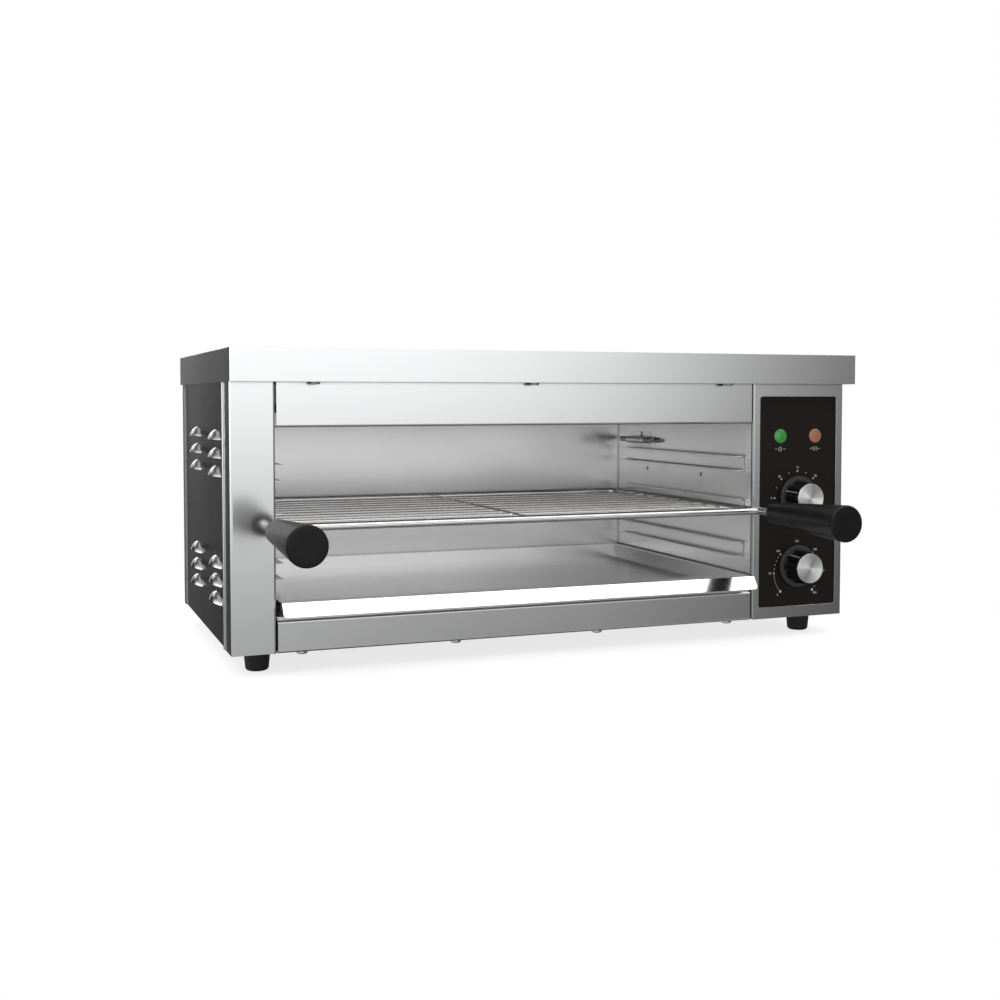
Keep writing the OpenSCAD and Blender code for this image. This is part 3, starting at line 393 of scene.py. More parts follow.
BRIGHT, PLAIN, LINING = (0.76, 0.765, 0.77), (0.74, 0.745, 0.75), grey(0.76)
case_side = sheet_steel("side sheet", PLAIN, 0.16, ALONG_Y)
tray_sheet = tray_steel()
chrome_wire = sheet_steel("bright chromed wire", grey(0.8), 0.07, ALONG_X, grain=0.02,
                          smears=0.02, crevice_shade=0.0)
stud_chrome = sheet_steel("threaded chromed stud", grey(0.42), 0.1, ALONG_X, grain=0.02)
thin_wire = sheet_steel("tempered wire", (0.85, 0.83, 0.81), 0.2, ALONG_X, grain=0.04,
                        crevice_shade=0.0)
zinc = sheet_steel("bright zinc", (0.5, 0.5, 0.51), 0.28, ALONG_Z, smears=0.15)
handle_black = moulded("handle plastic", grey(0.003), 0.36, dust=0.015, spread=0.06,
                       wear=0.15, Specular_IOR_Level=0.24)
grip_black = moulded("knob plastic", grey(0.0025), 0.28, dust=0.01, spread=0.05, wear=0.2,
                     Specular_IOR_Level=0.35)
skirt_grey = moulded("knob skirt plastic", grey(0.02), 0.5, dust=0.01, wear=0.1,
                     Specular_IOR_Level=0.4)
print_white = moulded("printed grey", (0.33, 0.32, 0.31), 0.5, dust=0.0)
pointer_white = moulded("pointer white", grey(0.3), 0.4, dust=0.0)
green_lens = lens("green lens", (0.02, 0.235, 0.034), (0.006, 0.09, 0.011))
amber_lens = lens("amber lens", (0.26, 0.108, 0.042), (0.125, 0.045, 0.017))
spun = spun_metal()

FINISHES = {
    sheet_steel("case sheet", BRIGHT, 0.18, ALONG_X):
        ("top_cover", "cover_brackets", "left_casing", "upper_fascia", "lower_fascia"),
    # Painted shade along its fold to the left side
    sheet_steel("housing sheet", BRIGHT, 0.18, ALONG_X, bend=0.75): ("control_housing",),
    sheet_steel("back sheet", PLAIN, 0.2, ALONG_X, cut=0.5): ("back_panel",),
    case_side: ("left_side_panel", "right_side_panel", "base_pan"),
    sheet_steel("liner sheet", LINING, 0.24, ALONG_X, smears=0.06, Metallic=0.88):
        ("back_liner", "chamber_floor", "reflector", "element_hanger"),
    sheet_steel("liner side sheet", LINING, 0.24, ALONG_Y, smears=0.06, Metallic=0.88):
        ("left_liner", "right_liner", "left_runners", "right_runners", "bulb_clip"),
    tray_sheet: ("crumb_tray",),
    chrome_wire: ("rack_hoop", "rack_front_bar", "rack_wires", "rack_cross_wire"),
    stud_chrome: ("stud_left", "stud_right"),
    zinc: ("foot_screws", "cover_screws", "base_screws", "back_screws", "control_screws",
           "element_nuts"),
    sheet_steel("turned steel", (0.62, 0.62, 0.63), 0.24, ALONG_Y):
        ("timer_spindle", "thermostat_spindle"),
    sheet_steel("plated housing", (0.62, 0.61, 0.58), 0.38, ALONG_Z, smears=0.2):
        ("timer_body", "thermostat_body"),
    sheet_steel("dull plated tube", (0.42, 0.41, 0.4), 0.35, ALONG_Y, smears=0.2):
        ("sensor_bulb",),
    handle_black: ("handle_left", "handle_right"),
    grip_black: ("timer_knob", "thermostat_knob"),
    spun: ("timer_cap", "thermostat_cap"),
    moulded("control plate enamel", (0.0042, 0.002, 0.001), 0.42, dust=0.0, pebbles=900.0,
            Specular_IOR_Level=0.24): ("control_plate",),
    moulded("foot rubber", grey(0.008), 0.6, dust=0.06, depth=0.25, pebbles=900.0,
            Specular_IOR_Level=0.3):
        ("foot_front_left", "foot_front_right", "foot_rear_left", "foot_rear_right"),
    moulded("gland plastic", grey(0.02), 0.5, dust=0.06, wear=0.3): ("cable_gland", "gland_nut"),
    moulded("terminal plastic", (0.72, 0.71, 0.66), 0.5, dust=0.05): ("terminal_block",),
    green_lens: ("power_lamp",),
    amber_lens: ("heat_lamp",),
    heated_tube(): ("front_element", "rear_element"),
    mineral_blanket(): ("insulation",),
}
for finish, names in FINISHES.items():
    for name in names:
        nodes[name].data.materials.clear()
        nodes[name].data.materials.append(finish)


# -------- meshes


def welded(mesh, reach=1e-6):
    """The mesh for editing, with points joined that are within reach of each other"""
    made = bmesh.new()
    made.from_mesh(mesh)
    bmesh.ops.remove_doubles(made, verts=made.verts, dist=reach)
    return made


def smooth(mesh, sharp=35):
    """Smooth shading up to an angle between faces"""
    mesh.shade_smooth()
    mesh.set_sharp_from_angle(angle=radians(sharp))


def finish_mesh(mesh, sharp=35):
    """Joins the points, turns the faces outwards and shades them"""
    made = welded(mesh)
    bmesh.ops.recalc_face_normals(made, faces=made.faces)
    made.to_mesh(mesh)
    made.free()
    smooth(mesh, sharp)


def new_piece(name, points, faces, material, sharp=35):
    """An object from points and faces"""
    mesh = bpy.data.meshes.new(name)
    mesh.from_pydata([tuple(p) for p in points], [], faces)
    mesh.materials.append(material)
    finish_mesh(mesh, sharp)
    return place_object(name, mesh)


def lathe(profile, sides, place):
    """Points and faces of an outline of radius and height turned round an axis; place puts a
    point in space"""
    points, rings, faces = [], [], []
    for radius, height in profile:
        count = 1 if radius < 1e-9 else sides
        rings.append([len(points) + i for i in range(count)])
        for i in range(count):
            a = TURN * i / sides
            points.append(place(radius * cos(a), radius * sin(a), height))
    for low, high in zip(rings, rings[1:]):
        faces += ring_faces(low, high, sides)
    return points, [face for face in faces if len(face) > 2]


def ring_faces(low, high, sides):
    """Faces between two rings of points, either of which may be one point"""
    faces = []
    for i in range(sides):
        j = (i + 1) % sides
        corners = [low[i % len(low)], low[j % len(low)], high[j % len(high)], high[i % len(high)]]
        faces.append(list(dict.fromkeys(corners)))
    return faces


def turned(name, profile, sides, centre, rear, material, sharp=35):
    """A turned piece with its axis along Y: its height runs towards the viewer from y = rear"""
    points, faces = lathe(profile, sides, lambda u, v, h: (centre.x + u, rear - h, centre.z + v))
    return new_piece(name, points, faces, material, sharp)


def arc(cx, cy, r, start, end, steps):
    """Points of a round, in degrees"""
    turn = [radians(start + (end - start) * i / steps) for i in range(steps + 1)]
    return [(cx + r * cos(a), cy + r * sin(a)) for a in turn]


def extruded(name, outline, place, material):
    """A flat outline drawn out: place puts its points at the shares 0 and 1 of the way"""
    count = len(outline)
    points = [place(p, t) for t in (0, 1) for p in outline]
    faces = [tuple(range(count)), tuple(range(2 * count - 1, count - 1, -1))]
    faces += ring_faces(range(count), range(count, 2 * count), count)
    return new_piece(name, points, faces, material)


def settle(piece, sharp=35):
    """Turns the live modifier's result into the piece's own plain mesh"""
    depsgraph = bpy.context.evaluated_depsgraph_get()
    mesh = bpy.data.meshes.new_from_object(piece.evaluated_get(depsgraph), depsgraph=depsgraph)
    piece.modifiers.clear()
    piece.data = mesh
    finish_mesh(mesh, sharp)
    return piece


def grow(name, tree, mesh, sharp=35, **values):
    """Makes a piece by a geometry tree, from a mesh that gives its points or its path"""
    piece = place_object(name, mesh)
    modifier = piece.modifiers.new("made", "NODES")
    modifier.node_group = tree
    for socket in tree.interface.items_tree:
        if socket.in_out == "INPUT" and socket.name in values:
            modifier[socket.identifier] = values[socket.name]
    return settle(piece, sharp)


def path_mesh(*paths):
    """Edges along each list of points"""
    mesh = bpy.data.meshes.new("path")
    points, edges = [], []
    for path in paths:
        edges += [(len(points) + i, len(points) + i + 1) for i in range(len(path) - 1)]
        points += path
    mesh.from_pydata([tuple(p) for p in points], edges, [])
    return mesh


def points_mesh(places, turns=None):
    """Loose points, each with a turn for what is set on it"""
    mesh = bpy.data.meshes.new("points")
    mesh.from_pydata([tuple(p) for p in places], [], [])
    turn = mesh.attributes.new("turn", "FLOAT_VECTOR", "POINT")
    for i, value in enumerate(turns or [(0, 0, 0)] * len(places)):
        turn.data[i].vector = value
    return mesh


# -------- geometry trees


def new_maker(name, inputs):
    """A geometry tree with these inputs and a material"""
    return new_group(name, {"Geometry": "Geometry", **inputs, "Material": "Material"},
                     ("Geometry",), "GeometryNodeTree", "Geometry")


def made_real(w, given, end, shape):
    """Ends a geometry tree with real faces in its material"""
    whole = w.term("GeometryNodeRealizeInstances", {"Geometry": shape})
    w.fill(end, Geometry=w.term("GeometryNodeSetMaterial",
                                {"Geometry": whole, "Material": given["Material"]}))
    return w.tree


def rod_tree():
    """Round rod along a path, with bent corners and closed ends"""
    w, given, end = new_maker("bent rod", {"Radius": 0.002, "Bend": 0.01, "Steps": 12,
                                           "Sides": 20})
    curve = w.term("GeometryNodeMeshToCurve", {"Mesh": given["Geometry"]})
    bent = w.term("GeometryNodeFilletCurve",
                  {"Curve": curve, "Count": given["Steps"], "Radius": given["Bend"],
                   "Limit Radius": True}, mode="POLY")
    ring = w.term("GeometryNodeCurvePrimitiveCircle",
                  {"Resolution": given["Sides"], "Radius": given["Radius"]}, mode="RADIUS")
    return made_real(w, given, end, w.term(
        "GeometryNodeCurveToMesh", {"Curve": bent, "Profile Curve": ring, "Fill Caps": True}))


def set_out_tree():
    """One piece repeated at every point of a mesh, turned as the point says"""
    w, given, end = new_maker("set out", {"Piece": "Object", "Size": 1.0})
    shape = w.term("GeometryNodeObjectInfo", {"Object": given["Piece"]}, output="Geometry")
    turn = w.term("GeometryNodeInputNamedAttribute", {"Name": "turn"}, data_type="FLOAT_VECTOR")
    return made_real(w, given, end, w.term(
        "GeometryNodeInstanceOnPoints",
        {"Points": given["Geometry"], "Instance": shape, "Scale": given["Size"],
         "Rotation": w.term("FunctionNodeEulerToRotation", {"Euler": turn})}))


def shaped_cylinder(name, inputs, rule):
    """A tree for a closed cylinder whose radius a rule sets from the angle and the height"""
    w, given, end = new_maker(name, {**inputs, "Length": 0.02, "Sides": 144, "Rings": 40,
                                     "Centre": (0, 0, 0)})
    blank = w.term("GeometryNodeMeshCylinder",
                   {"Vertices": given["Sides"], "Side Segments": given["Rings"], "Radius": 1.0,
                    "Depth": given["Length"]}, fill_type="NGON")
    x, y, z = w.term("GeometryNodeInputPosition").axes()
    height, angle = z + given["Length"] * 0.5, y.math("ARCTAN2", x)
    radius = rule(given, angle, height)
    cx, cy, cz = given["Centre"].axes()
    placed = w.vector(cx + angle.math("COSINE") * radius, cy - height,
                      cz + angle.math("SINE") * radius)
    return made_real(w, given, end, w.term("GeometryNodeSetPosition",
                                           {"Geometry": blank, "Position": placed}))


def fluted_rule(given, angle, height):
    """Tapered grip with round flutes that fade out just before its rounded front edge"""
    along = height / given["Length"]
    radius = given["Rear Radius"] + (given["Front Radius"] - given["Rear Radius"]) * along
    wave = (angle * given["Flutes"]).math("COSINE") * 0.5 + 0.5
    flute = wave.math("POWER", 1.4) * given["Depth"]
    edge = given["Edge"]
    past = ((height - given["Length"] + edge) / edge).math("MAXIMUM", 0.0).math("MINIMUM", 1.0)
    return radius - flute - (1 - (1 - past * past).math("SQRT")) * edge


def thread_rule(given, angle, height):
    """Stud with a rounded helical thread and a domed end"""
    turn = height / given["Pitch"] + angle / TURN
    ridge = (turn * TURN).math("SINE") * 0.5 + 0.5
    grown = height.ramp(0.0, 0.014)
    radius = given["Radius"] - ridge.math("POWER", 0.7) * given["Depth"] * grown
    near = (1 - height / given["Radius"]).math("MAXIMUM", 0.0)
    return radius * (1 - near * near).math("MAXIMUM", 0.0).math("SQRT")


ROD, SET_OUT = rod_tree(), set_out_tree()
FLUTED = shaped_cylinder("fluted grip", {"Rear Radius": 0.017, "Front Radius": 0.0152,
                                         "Flutes": 9, "Depth": 0.0021, "Edge": 0.0009},
                         fluted_rule)
THREADED = shaped_cylinder("threaded stud", {"Radius": 0.004, "Pitch": 0.002, "Depth": 0.0005},
                           thread_rule)
NO_PATH = path_mesh([(0, 0, 0), (0, 0, MM)])


def set_out(name, template, places, material, turns=None, size=1.0):
    """Repeats a template at the places; the template itself is removed by its maker"""
    return grow(name, SET_OUT, points_mesh(places, turns), Piece=template, Size=size,
                Material=material)


def fit(piece, body, slot, *replaced):
    """Lets a finished piece ride on a body, for the nodes that it replaces; the slot is not used"""
    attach(piece, body)
    if replaced:
        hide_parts(*replaced)


def merged(name, pieces):
    """One object from several in the same material"""
    made = bmesh.new()
    for piece in pieces:
        made.from_mesh(piece.data)
    mesh = bpy.data.meshes.new(name)
    made.to_mesh(mesh)
    made.free()
    mesh.materials.append(pieces[0].data.materials[0])
    for piece in pieces:
        bpy.data.objects.remove(piece)
    smooth(mesh)
    return place_object(name, mesh)


# -------- handles, studs and rack


def handles():
    """Tapered grips with rounded rims, on threaded studs"""
    narrow, edge, hollow = 0.0105, 0.0016, 0.0006
    for side in ("left", "right"):
        node = "handle_" + side
        centre, wide, front, rear = round_solid(node)
        long = rear - front
        profile = [(0, hollow), (0.004, hollow), (0.0046, 0.0)]
        profile += arc(narrow - edge, edge, edge, -90, -3, 6)
        profile += [(narrow + (wide - narrow) * t, edge + (long - 2 * edge) * t)
                    for t in (0.02, 0.25, 0.5, 0.75, 0.98)]
        profile += arc(wide - edge, long - edge, edge, 3, 90, 6)
        profile += [(0.6 * wide, long), (0.3 * wide, long - 0.00005), (0, long - 0.0001)]
        grip = turned("handle_grip_" + side, profile, 72, centre, rear, handle_black)
        fit(grip, "rack", "handle_plastic", node)
        node = "stud_" + side
        _, radius, front, rear = round_solid(node)
        stud = grow("handle_stud_" + side, THREADED, NO_PATH, sharp=50, Radius=radius,
                    Length=rear - front, Sides=28, Rings=170,
                    Centre=Vector((centre.x, rear, centre.z)), Material=stud_chrome)
        fit(stud, "rack", "chromed_wire", node)


def rack():
    """The hoop, the front bar and the thin wires, with small weld beads where they meet"""
    low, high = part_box("rack_hoop")
    bar_low, bar_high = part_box("rack_front_bar")
    cross_low, cross_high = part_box("rack_cross_wire")
    wires_low, wires_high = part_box("rack_wires")
    bar_r, cross_r = (high.z - low.z) / 2, (cross_high.x - cross_low.x) / 2
    thin_r = (wires_high.z - wires_low.z) / 2
    z, bar_y = (high.z + low.z) / 2, (bar_low.y + bar_high.y) / 2
    cross_x = (cross_low.x + cross_high.x) / 2
    left, right, back = low.x + bar_r, high.x - bar_r, high.y - bar_r
    first, last = wires_low.y + thin_r, wires_high.y - thin_r
    rows = [first + i * (last - first) / 8 for i in range(9)]
    rods = (
        ("rack_frame_rod", [[(left, bar_y, z), (left, back, z), (right, back, z),
                             (right, bar_y, z)]], bar_r, chrome_wire, 0.012, 32, "rack_hoop"),
        ("rack_front_rod", [[(bar_low.x, bar_y, z), (bar_high.x, bar_y, z)]], bar_r, chrome_wire,
         0.0, 40, "rack_front_bar"),
        ("rack_thin_wires", [[(left, y, z), (right, y, z)] for y in rows], thin_r, thin_wire,
         0.0, 20, "rack_wires"),
        ("rack_middle_wire", [[(cross_x, bar_y, z), (cross_x, back, z)]], cross_r, thin_wire,
         0.0, 20, "rack_cross_wire"))
    for name, paths, radius, finish, bend, sides, node in rods:
        piece = grow(name, ROD, path_mesh(*paths), Radius=radius, Bend=bend, Sides=sides,
                     Material=finish)
        fit(piece, "rack", "chromed_wire", node)
    long, thick = 0.0026, 0.0021
    bead = new_piece("bead", *lathe([(0, -1), *arc(0, 0, 1, -67, 67, 6), (0, 1)], 12,
                                    lambda u, v, h: (u * long, h * thick, v * thick)),
                     chrome_wire)
    beads = [(x, y, z) for y in rows for x in (left + bar_r, right - bar_r)]
    beads += [(cross_x + side * cross_r, y, z) for y in rows for side in (-1, 1)]
    fit(set_out("rack_weld_beads", bead, beads, chrome_wire), "rack", "chromed_wire")
    bpy.data.objects.remove(bead)


def tray_ends():
    """Side plates of the crumb tray's lip, between its slope and the case"""
    low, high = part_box("crumb_tray")
    top, thick = low.y + 0.0075, 0.0008
    outline = [(top + 0.0002, high.z - 0.0002), (top - 0.004, high.z - 0.0063),
               (top + 0.0055, high.z - 0.0075), (top + 0.0065, high.z - 0.0062),
               (top + 0.0065, high.z - 0.0002)]
    ends = [extruded("end", outline, lambda p, t, x=x: (x + thick * t, p[0], p[1]), tray_sheet)
            for x in (low.x + 0.0001, high.x - 0.0009)]
    fit(merged("tray_lip_ends", ends), "crumb_tray_body", "tray_steel")


# -------- controls


def knob(control):
    """Skirt, fluted grip and dished metal disc"""
    body = control + "_control"
    centre, radius, front, rear = round_solid(control + "_knob")
    thick, edge = 0.0033, 0.0007
    profile = [(0, 0), (radius - 0.0003, 0), (radius, 0.0003),
               *arc(radius - edge, thick - edge, edge, 0, 90, 6),
               (radius - 0.0035, thick), (0.012, thick + 0.0003), (0, thick + 0.0003)]
    skirt = turned(control + "_knob_skirt", profile, 96, centre, rear, skirt_grey)
    fit(skirt, body, "knob_plastic")
    grip = grow(control + "_knob_grip", FLUTED, NO_PATH, sharp=50,
                Length=rear - front - thick / 2, Sides=180, Rings=48,
                Centre=Vector((centre.x, rear - thick / 2, centre.z)), Material=grip_black)
    fit(grip, body, "knob_plastic", control + "_knob")
    _, radius, front, rear = round_solid(control + "_cap")
    thick, edge = rear - front, 0.0002
    dish = thick - 0.00008
    profile = [(0, 0), (radius, 0), *arc(radius - edge, thick - edge, edge, 0, 90, 4),
               (radius - 0.0009, thick), (radius - 0.0014, dish), (0.006, dish), (0, dish)]
    disc = turned(control + "_knob_disc", profile, 128, centre, rear, spun, 25)
    fit(disc, body, "spun_aluminium", control + "_cap")


def pointer(control, degrees):
    """White line along the grip, from the disc back to the skirt"""
    centre, _, front, rear = round_solid(control + "_knob")
    a = radians(degrees)
    out, across = Vector((cos(a), 0, sin(a))), Vector((-sin(a), 0, cos(a)))
    half, thick, stations = 0.00035, 0.0002, (0.0, 0.33, 0.66, 1.0)
    rear_reach, taper = 0.01685, 0.00165
    points = []
    for t in stations:
        y = rear - 0.0035 - (rear - front - 0.0046) * t
        for u, lift in ((-half, 0), (half, 0), (half * 0.7, thick), (-half * 0.7, thick)):
            reach = rear_reach - taper * t + lift
            points.append(Vector((centre.x, y, centre.z)) + out * reach + across * u)
    faces = [(0, 1, 2, 3), (12, 13, 14, 15)]
    for k in range(len(stations) - 1):
        faces += ring_faces(range(4 * k, 4 * k + 4), range(4 * k + 4, 4 * k + 8), 4)
    line = new_piece(control + "_pointer", points, faces, pointer_white)
    fit(line, control + "_control", "knob_plastic")


def lamp(node, slot, material):
    """Domed lens on the plate"""
    centre, radius, front, _ = round_solid(node)
    plate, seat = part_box("control_plate")[0].y, 0.0007
    top = plate - front
    profile = [(0, 0), (radius - 0.0002, 0.0), (radius - 0.0002, 0.0006)]
    for degrees in range(0, 90, 10):
        a = radians(degrees)
        profile.append((radius * 0.96 * cos(a), seat + (top - seat) * sin(a)))
    profile.append((0, top))
    fit(turned(node + "_lens", profile, 64, centre, plate, material, 50), "cabinet", slot)


def flat_strip(path, width, y, thick=0.00008):
    """Points and faces of a thin printed line on the plate, along a path of x and z"""
    points, faces = [], []
    for i, (x, z) in enumerate(path):
        ahead, behind = path[min(i + 1, len(path) - 1)], path[max(i - 1, 0)]
        along = Vector((ahead[0] - behind[0], ahead[1] - behind[1])).normalized()
        for side, lift in ((-1, 0), (-1, thick), (1, thick), (1, 0)):
            points.append((x - side * along.y * width / 2, y - lift,
                           z + side * along.x * width / 2))
        if i:
            faces += ring_faces(range(4 * i - 4, 4 * i), range(4 * i, 4 * i + 4), 4)
    return points, faces + [(0, 1, 2, 3), tuple(range(len(points) - 4, len(points)))]


def number(value, spot, y, size):
    """A plain printed number, centred at a spot of x and z"""
    half = 0.00004
    curve = bpy.data.curves.new("number", "FONT")
    curve.body, curve.size, curve.extrude = str(value), size, half
    curve.align_x, curve.align_y = "CENTER", "CENTER"
    label = place_object("number", curve)
    depsgraph = bpy.context.evaluated_depsgraph_get()
    mesh = bpy.data.meshes.new_from_object(label.evaluated_get(depsgraph))
    bpy.data.objects.remove(label)
    upright = Matrix.Rotation(radians(90), 4, "X")
    mesh.transform(Matrix.Translation((spot[0], y - half, spot[1])) @ upright)
    mesh.materials.append(print_white)
    return place_object("number", mesh)


def dial_print():
    """Numbers, dots and plain signs on the control plate"""
    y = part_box("control_plate")[0].y
    x0 = middle("timer_knob").x
    # The thermostat's scale is printed a little lower than its knob
    timer_z, heat_z = middle("timer_knob").z - 0.0005, middle("thermostat_knob").z - 0.0063
    reach, line, pieces = 0.026, 0.0004, []

    def strip(path, width=line):
        pieces.append(new_piece("strip", *flat_strip(path, width, y), print_white))

    def at(z0, degrees, r=reach):
        a = radians(degrees)
        return x0 + r * cos(a), z0 + r * sin(a)

    dot = new_piece("dot", *lathe([(0, 0), (1, 0), (1, 0.08), (0, 0.08)], 20,
                                  lambda u, v, h: (u * MM, -h * MM, v * MM)), print_white)
    large, small = [], []
    for k in range(13):
        degrees = 225 - 22.5 * k
        (small if k % 2 else large).append(at(timer_z, degrees))
        if k % 2 == 0:
            pieces.append(number(5 * k // 2, at(timer_z, degrees, reach + 0.0035), y, 0.0032))
    bold = [at(heat_z, degrees) for degrees in (225, 315)]
    large += [at(heat_z, degrees) for degrees in (180, 135, 90, 45, 0)]
    small += [at(heat_z, degrees) for degrees in (171, 162, 153, 144, 324)]
    for i, degrees in enumerate((225, 180, 135, 90, 45, 0, 315)):
        pieces.append(number(50 * i, at(heat_z, degrees, reach + 0.0045), y, 0.003))
    for spots, size in ((bold, 1.25), (large, 0.85), (small, 0.5)):
        places = [(x, y, z) for x, z in spots]
        pieces.append(set_out("dots", dot, places, print_white, size=size))
    bpy.data.objects.remove(dot)
    strip([at(heat_z, a) for a in range(222, 181, -3)], 0.00022)
    for node in ("power_lamp", "heat_lamp"):
        x, z = middle(node).x, middle(node).z - 0.0126
        if node == "heat_lamp":
            for shift in (-0.0021, 0, 0.0021):
                strip([(x + shift + 0.0005 * sin(t * TURN / 8), z - 0.002 + 0.0005 * t)
                       for t in range(9)])
        else:
            turns = [radians(38 + 284 * i / 24) for i in range(25)]
            strip([(x + 0.0018 * sin(a), z + 0.0018 * cos(a)) for a in turns])
            strip([(x, z + 0.0003), (x, z + 0.0026)])
        for side in (-1, 1):
            strip([(x + side * 0.0036, z), (x + side * 0.0058, z)])
    fit(merged("plate_print", pieces), "cabinet", "black_plate")


# -------- screws


def pan_head(radius, high, material):
    """Pan head with a rounded edge and a pressed cross recess, its top towards +Z"""
    sides, points, rings = 48, [], []
    outline = [(radius * 0.98, 0), *arc(radius - 0.45 * high, 0.55 * high, 0.45 * high, -20, 80, 6)]
    outline += [(radius * s, high * (0.99 + 0.02 * (1 - s)))
                for s in (0.72, 0.6, 0.5, 0.4, 0.3, 0.22, 0.15, 0.08)]
    arm_end, arm_half, taper = 0.56 * radius, 0.11 * radius, 0.1
    for r, h in outline + [(0, high)]:
        ring = []
        for i in range(1 if r < 1e-9 else sides):
            a = TURN * i / sides
            x, y = r * cos(a), r * sin(a)
            arm, cross = max(abs(x), abs(y)), min(abs(x), abs(y))
            inside = arm < arm_end and cross < arm_half + taper * (arm_end - arm)
            ring.append(len(points))
            points.append((x, y, h - (0.62 * high * (1 - 0.5 * arm / radius) if inside else 0)))
        rings.append(ring)
    faces = [tuple(reversed(rings[0]))]
    for low, up in zip(rings, rings[1:]):
        faces += ring_faces(low, up, sides)
    return new_piece("head", points, faces, material, 30)


def islands(obj):
    """Boxes of the separate bodies in a mesh, from left to right"""
    made = welded(obj.data)
    left, boxes = set(made.verts), []
    while left:
        reached, queue = [], [left.pop()]
        while queue:
            vert = queue.pop()
            reached.append(vert.co.copy())
            for edge in vert.link_edges:
                other = edge.other_vert(vert)
                if other in left:
                    left.discard(other)
                    queue.append(other)
        boxes.append([Vector([pick(c[i] for c in reached) for i in range(3)])
                      for pick in (min, max)])
    made.free()
    return sorted(boxes, key=lambda b: round(b[0].x, 4))


def screws():
    """Pan heads over the plain heads of the solids, below the cover and base and at the back"""
    # For each group: its node, the head's radius and height, and whether it faces down
    groups = (("cover_screws", 0.0039, 0.0021, True), ("base_screws", 0.00475, 0.0026, True),
              ("back_screws", 0.00475, 0.0026, False))
    for node, radius, high, down in groups:
        places, turns = [], []
        for index, (low, up) in enumerate(islands(nodes[node])):
            spot = (low + up) / 2
            if down:
                spot.z = low.z + high
                turns.append((pi, 0, 0.5 + index * 1.3))
            else:
                spot.y = up.y - high
                turns.append((-pi / 2, 0.4 + index * 1.1, 0))
            places.append(spot)
        head = pan_head(radius, high, zinc)
        heads = set_out(node + "_heads", head, places, zinc, turns)
        fit(heads, "cabinet", "fastener_steel", node)
        bpy.data.objects.remove(head)


# -------- louvered side panels


def louver_hood(long, high, seat, flare):
    """Points, faces and outer rim of a hood pressed out of a sheet at x = 0, towards -X"""
    columns, rows, lip = 44, 14, radians(26)
    round_r = ((long / 2) ** 2 + high ** 2) / (2 * high)
    soft = 0.8 * flare
    rest = sqrt(soft ** 2 + seat ** 2) / 2 - seat / 2
    points, rim, faces = [], [], []
    for i in range(columns + 1):
        t = sin(pi * (i / columns - 0.5))
        y = (long / 2 + flare) * t
        reach = sqrt(max(round_r ** 2 - min(abs(y), long / 2) ** 2, 0)) - (round_r - high)
        top = reach + flare * (1 - abs(t)) ** 0.5
        rim.append((y, top))
        for j in range(rows + 1):
            lean = lip + (pi / 2 - lip) * j / rows
            z = top * (sin(lean) - sin(lip)) / (1 - sin(lip))
            bulge = reach * cos(lean) / cos(lip) - seat
            out = max((bulge + sqrt(bulge ** 2 + soft ** 2)) / 2 - rest, 0)
            points.append((-out if 0 < i < columns and j < rows else 0, y, z))
            if i < columns and j < rows:
                a, b = i * (rows + 1) + j, (i + 1) * (rows + 1) + j
                faces.append((a, a + 1, b + 1, b))
    return points, faces, rim


def side_panel(side):
    """Flat sheet with its louvers pressed out of it, and a hem along its front"""
    node = side + "_side_panel"
    low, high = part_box(node)
    sheet_x, thick = -0.302, 0.0009
    long, tall, seat, flare = 0.068, 0.0074, 0.0013, 0.0012
    pitch, group_z, group_y = 0.0161, (0.1864, 0.0739), (-0.002265, 0.11821)
    points, faces, rim = louver_hood(long, tall, seat, flare)
    hood = new_piece("hood", points, faces, case_side, 60)
    places = [(y, z + row * pitch - tall / 2)
              for z in group_z for y in group_y for row in (-1, 0, 1)]
    hoods = set_out("hoods", hood, [(sheet_x, y, z) for y, z in places], case_side)
    bpy.data.objects.remove(hood)
    # The flat sheet, with an opening at each hood's rim
    border = [(low.y, low.z), (high.y, low.z), (high.y, high.z), (low.y, high.z)]
    loops = [border] + [[(y + u, z + v) for u, v in rim] for y, z in places]
    loops = [[Vector((y, z, 0)) for y, z in loop] for loop in loops]
    flat = [(sheet_x, p.x, p.y) for loop in loops for p in loop]
    sheet = new_piece("sheet", flat, [tuple(t) for t in geometry.tessellate_polygon(loops)],
                      case_side)
    panel = merged("louvered_sheet_" + side, [sheet, hoods])
    made = welded(panel.data, 2e-5)
    bmesh.ops.recalc_face_normals(made, faces=made.faces)
    if sum(f.normal.x * f.calc_area() for f in made.faces) > 0:
        bmesh.ops.reverse_faces(made, faces=made.faces)
    made.to_mesh(panel.data)
    made.free()
    wall = panel.modifiers.new("sheet", "SOLIDIFY")
    wall.thickness, wall.offset, wall.use_even_offset = thick, -1, False
    settle(panel, 40)
    start, deep, out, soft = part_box("left_casing")[1].y + 0.0002, 0.003, 0.0021, 0.0004
    outline = [(0.0002, start), (soft - out, start), (-out, start + soft),
               (-out, start + deep - soft), (soft - out, start + deep), (0.0002, start + deep)]
    hem = extruded("hem", [(sheet_x + x, y) for x, y in outline],
                   lambda p, t: (p[0], p[1], low.z + (high.z - low.z) * t), case_side)
    panel = merged("louvered_sheet_" + side, [panel, hem])
    # The sheet between the hoods is flat, so the tilt at their rims isn't carried over it
    for face in panel.data.polygons:
        face.use_smooth = abs(face.normal.x) < 0.9999
    if side == "right":
        panel.data.transform(Matrix.Scale(-1, 4, (1, 0, 0)))
        panel.data.flip_normals()
    fit(panel, "cabinet", "case_steel", node)


# -------- camera, floor and light


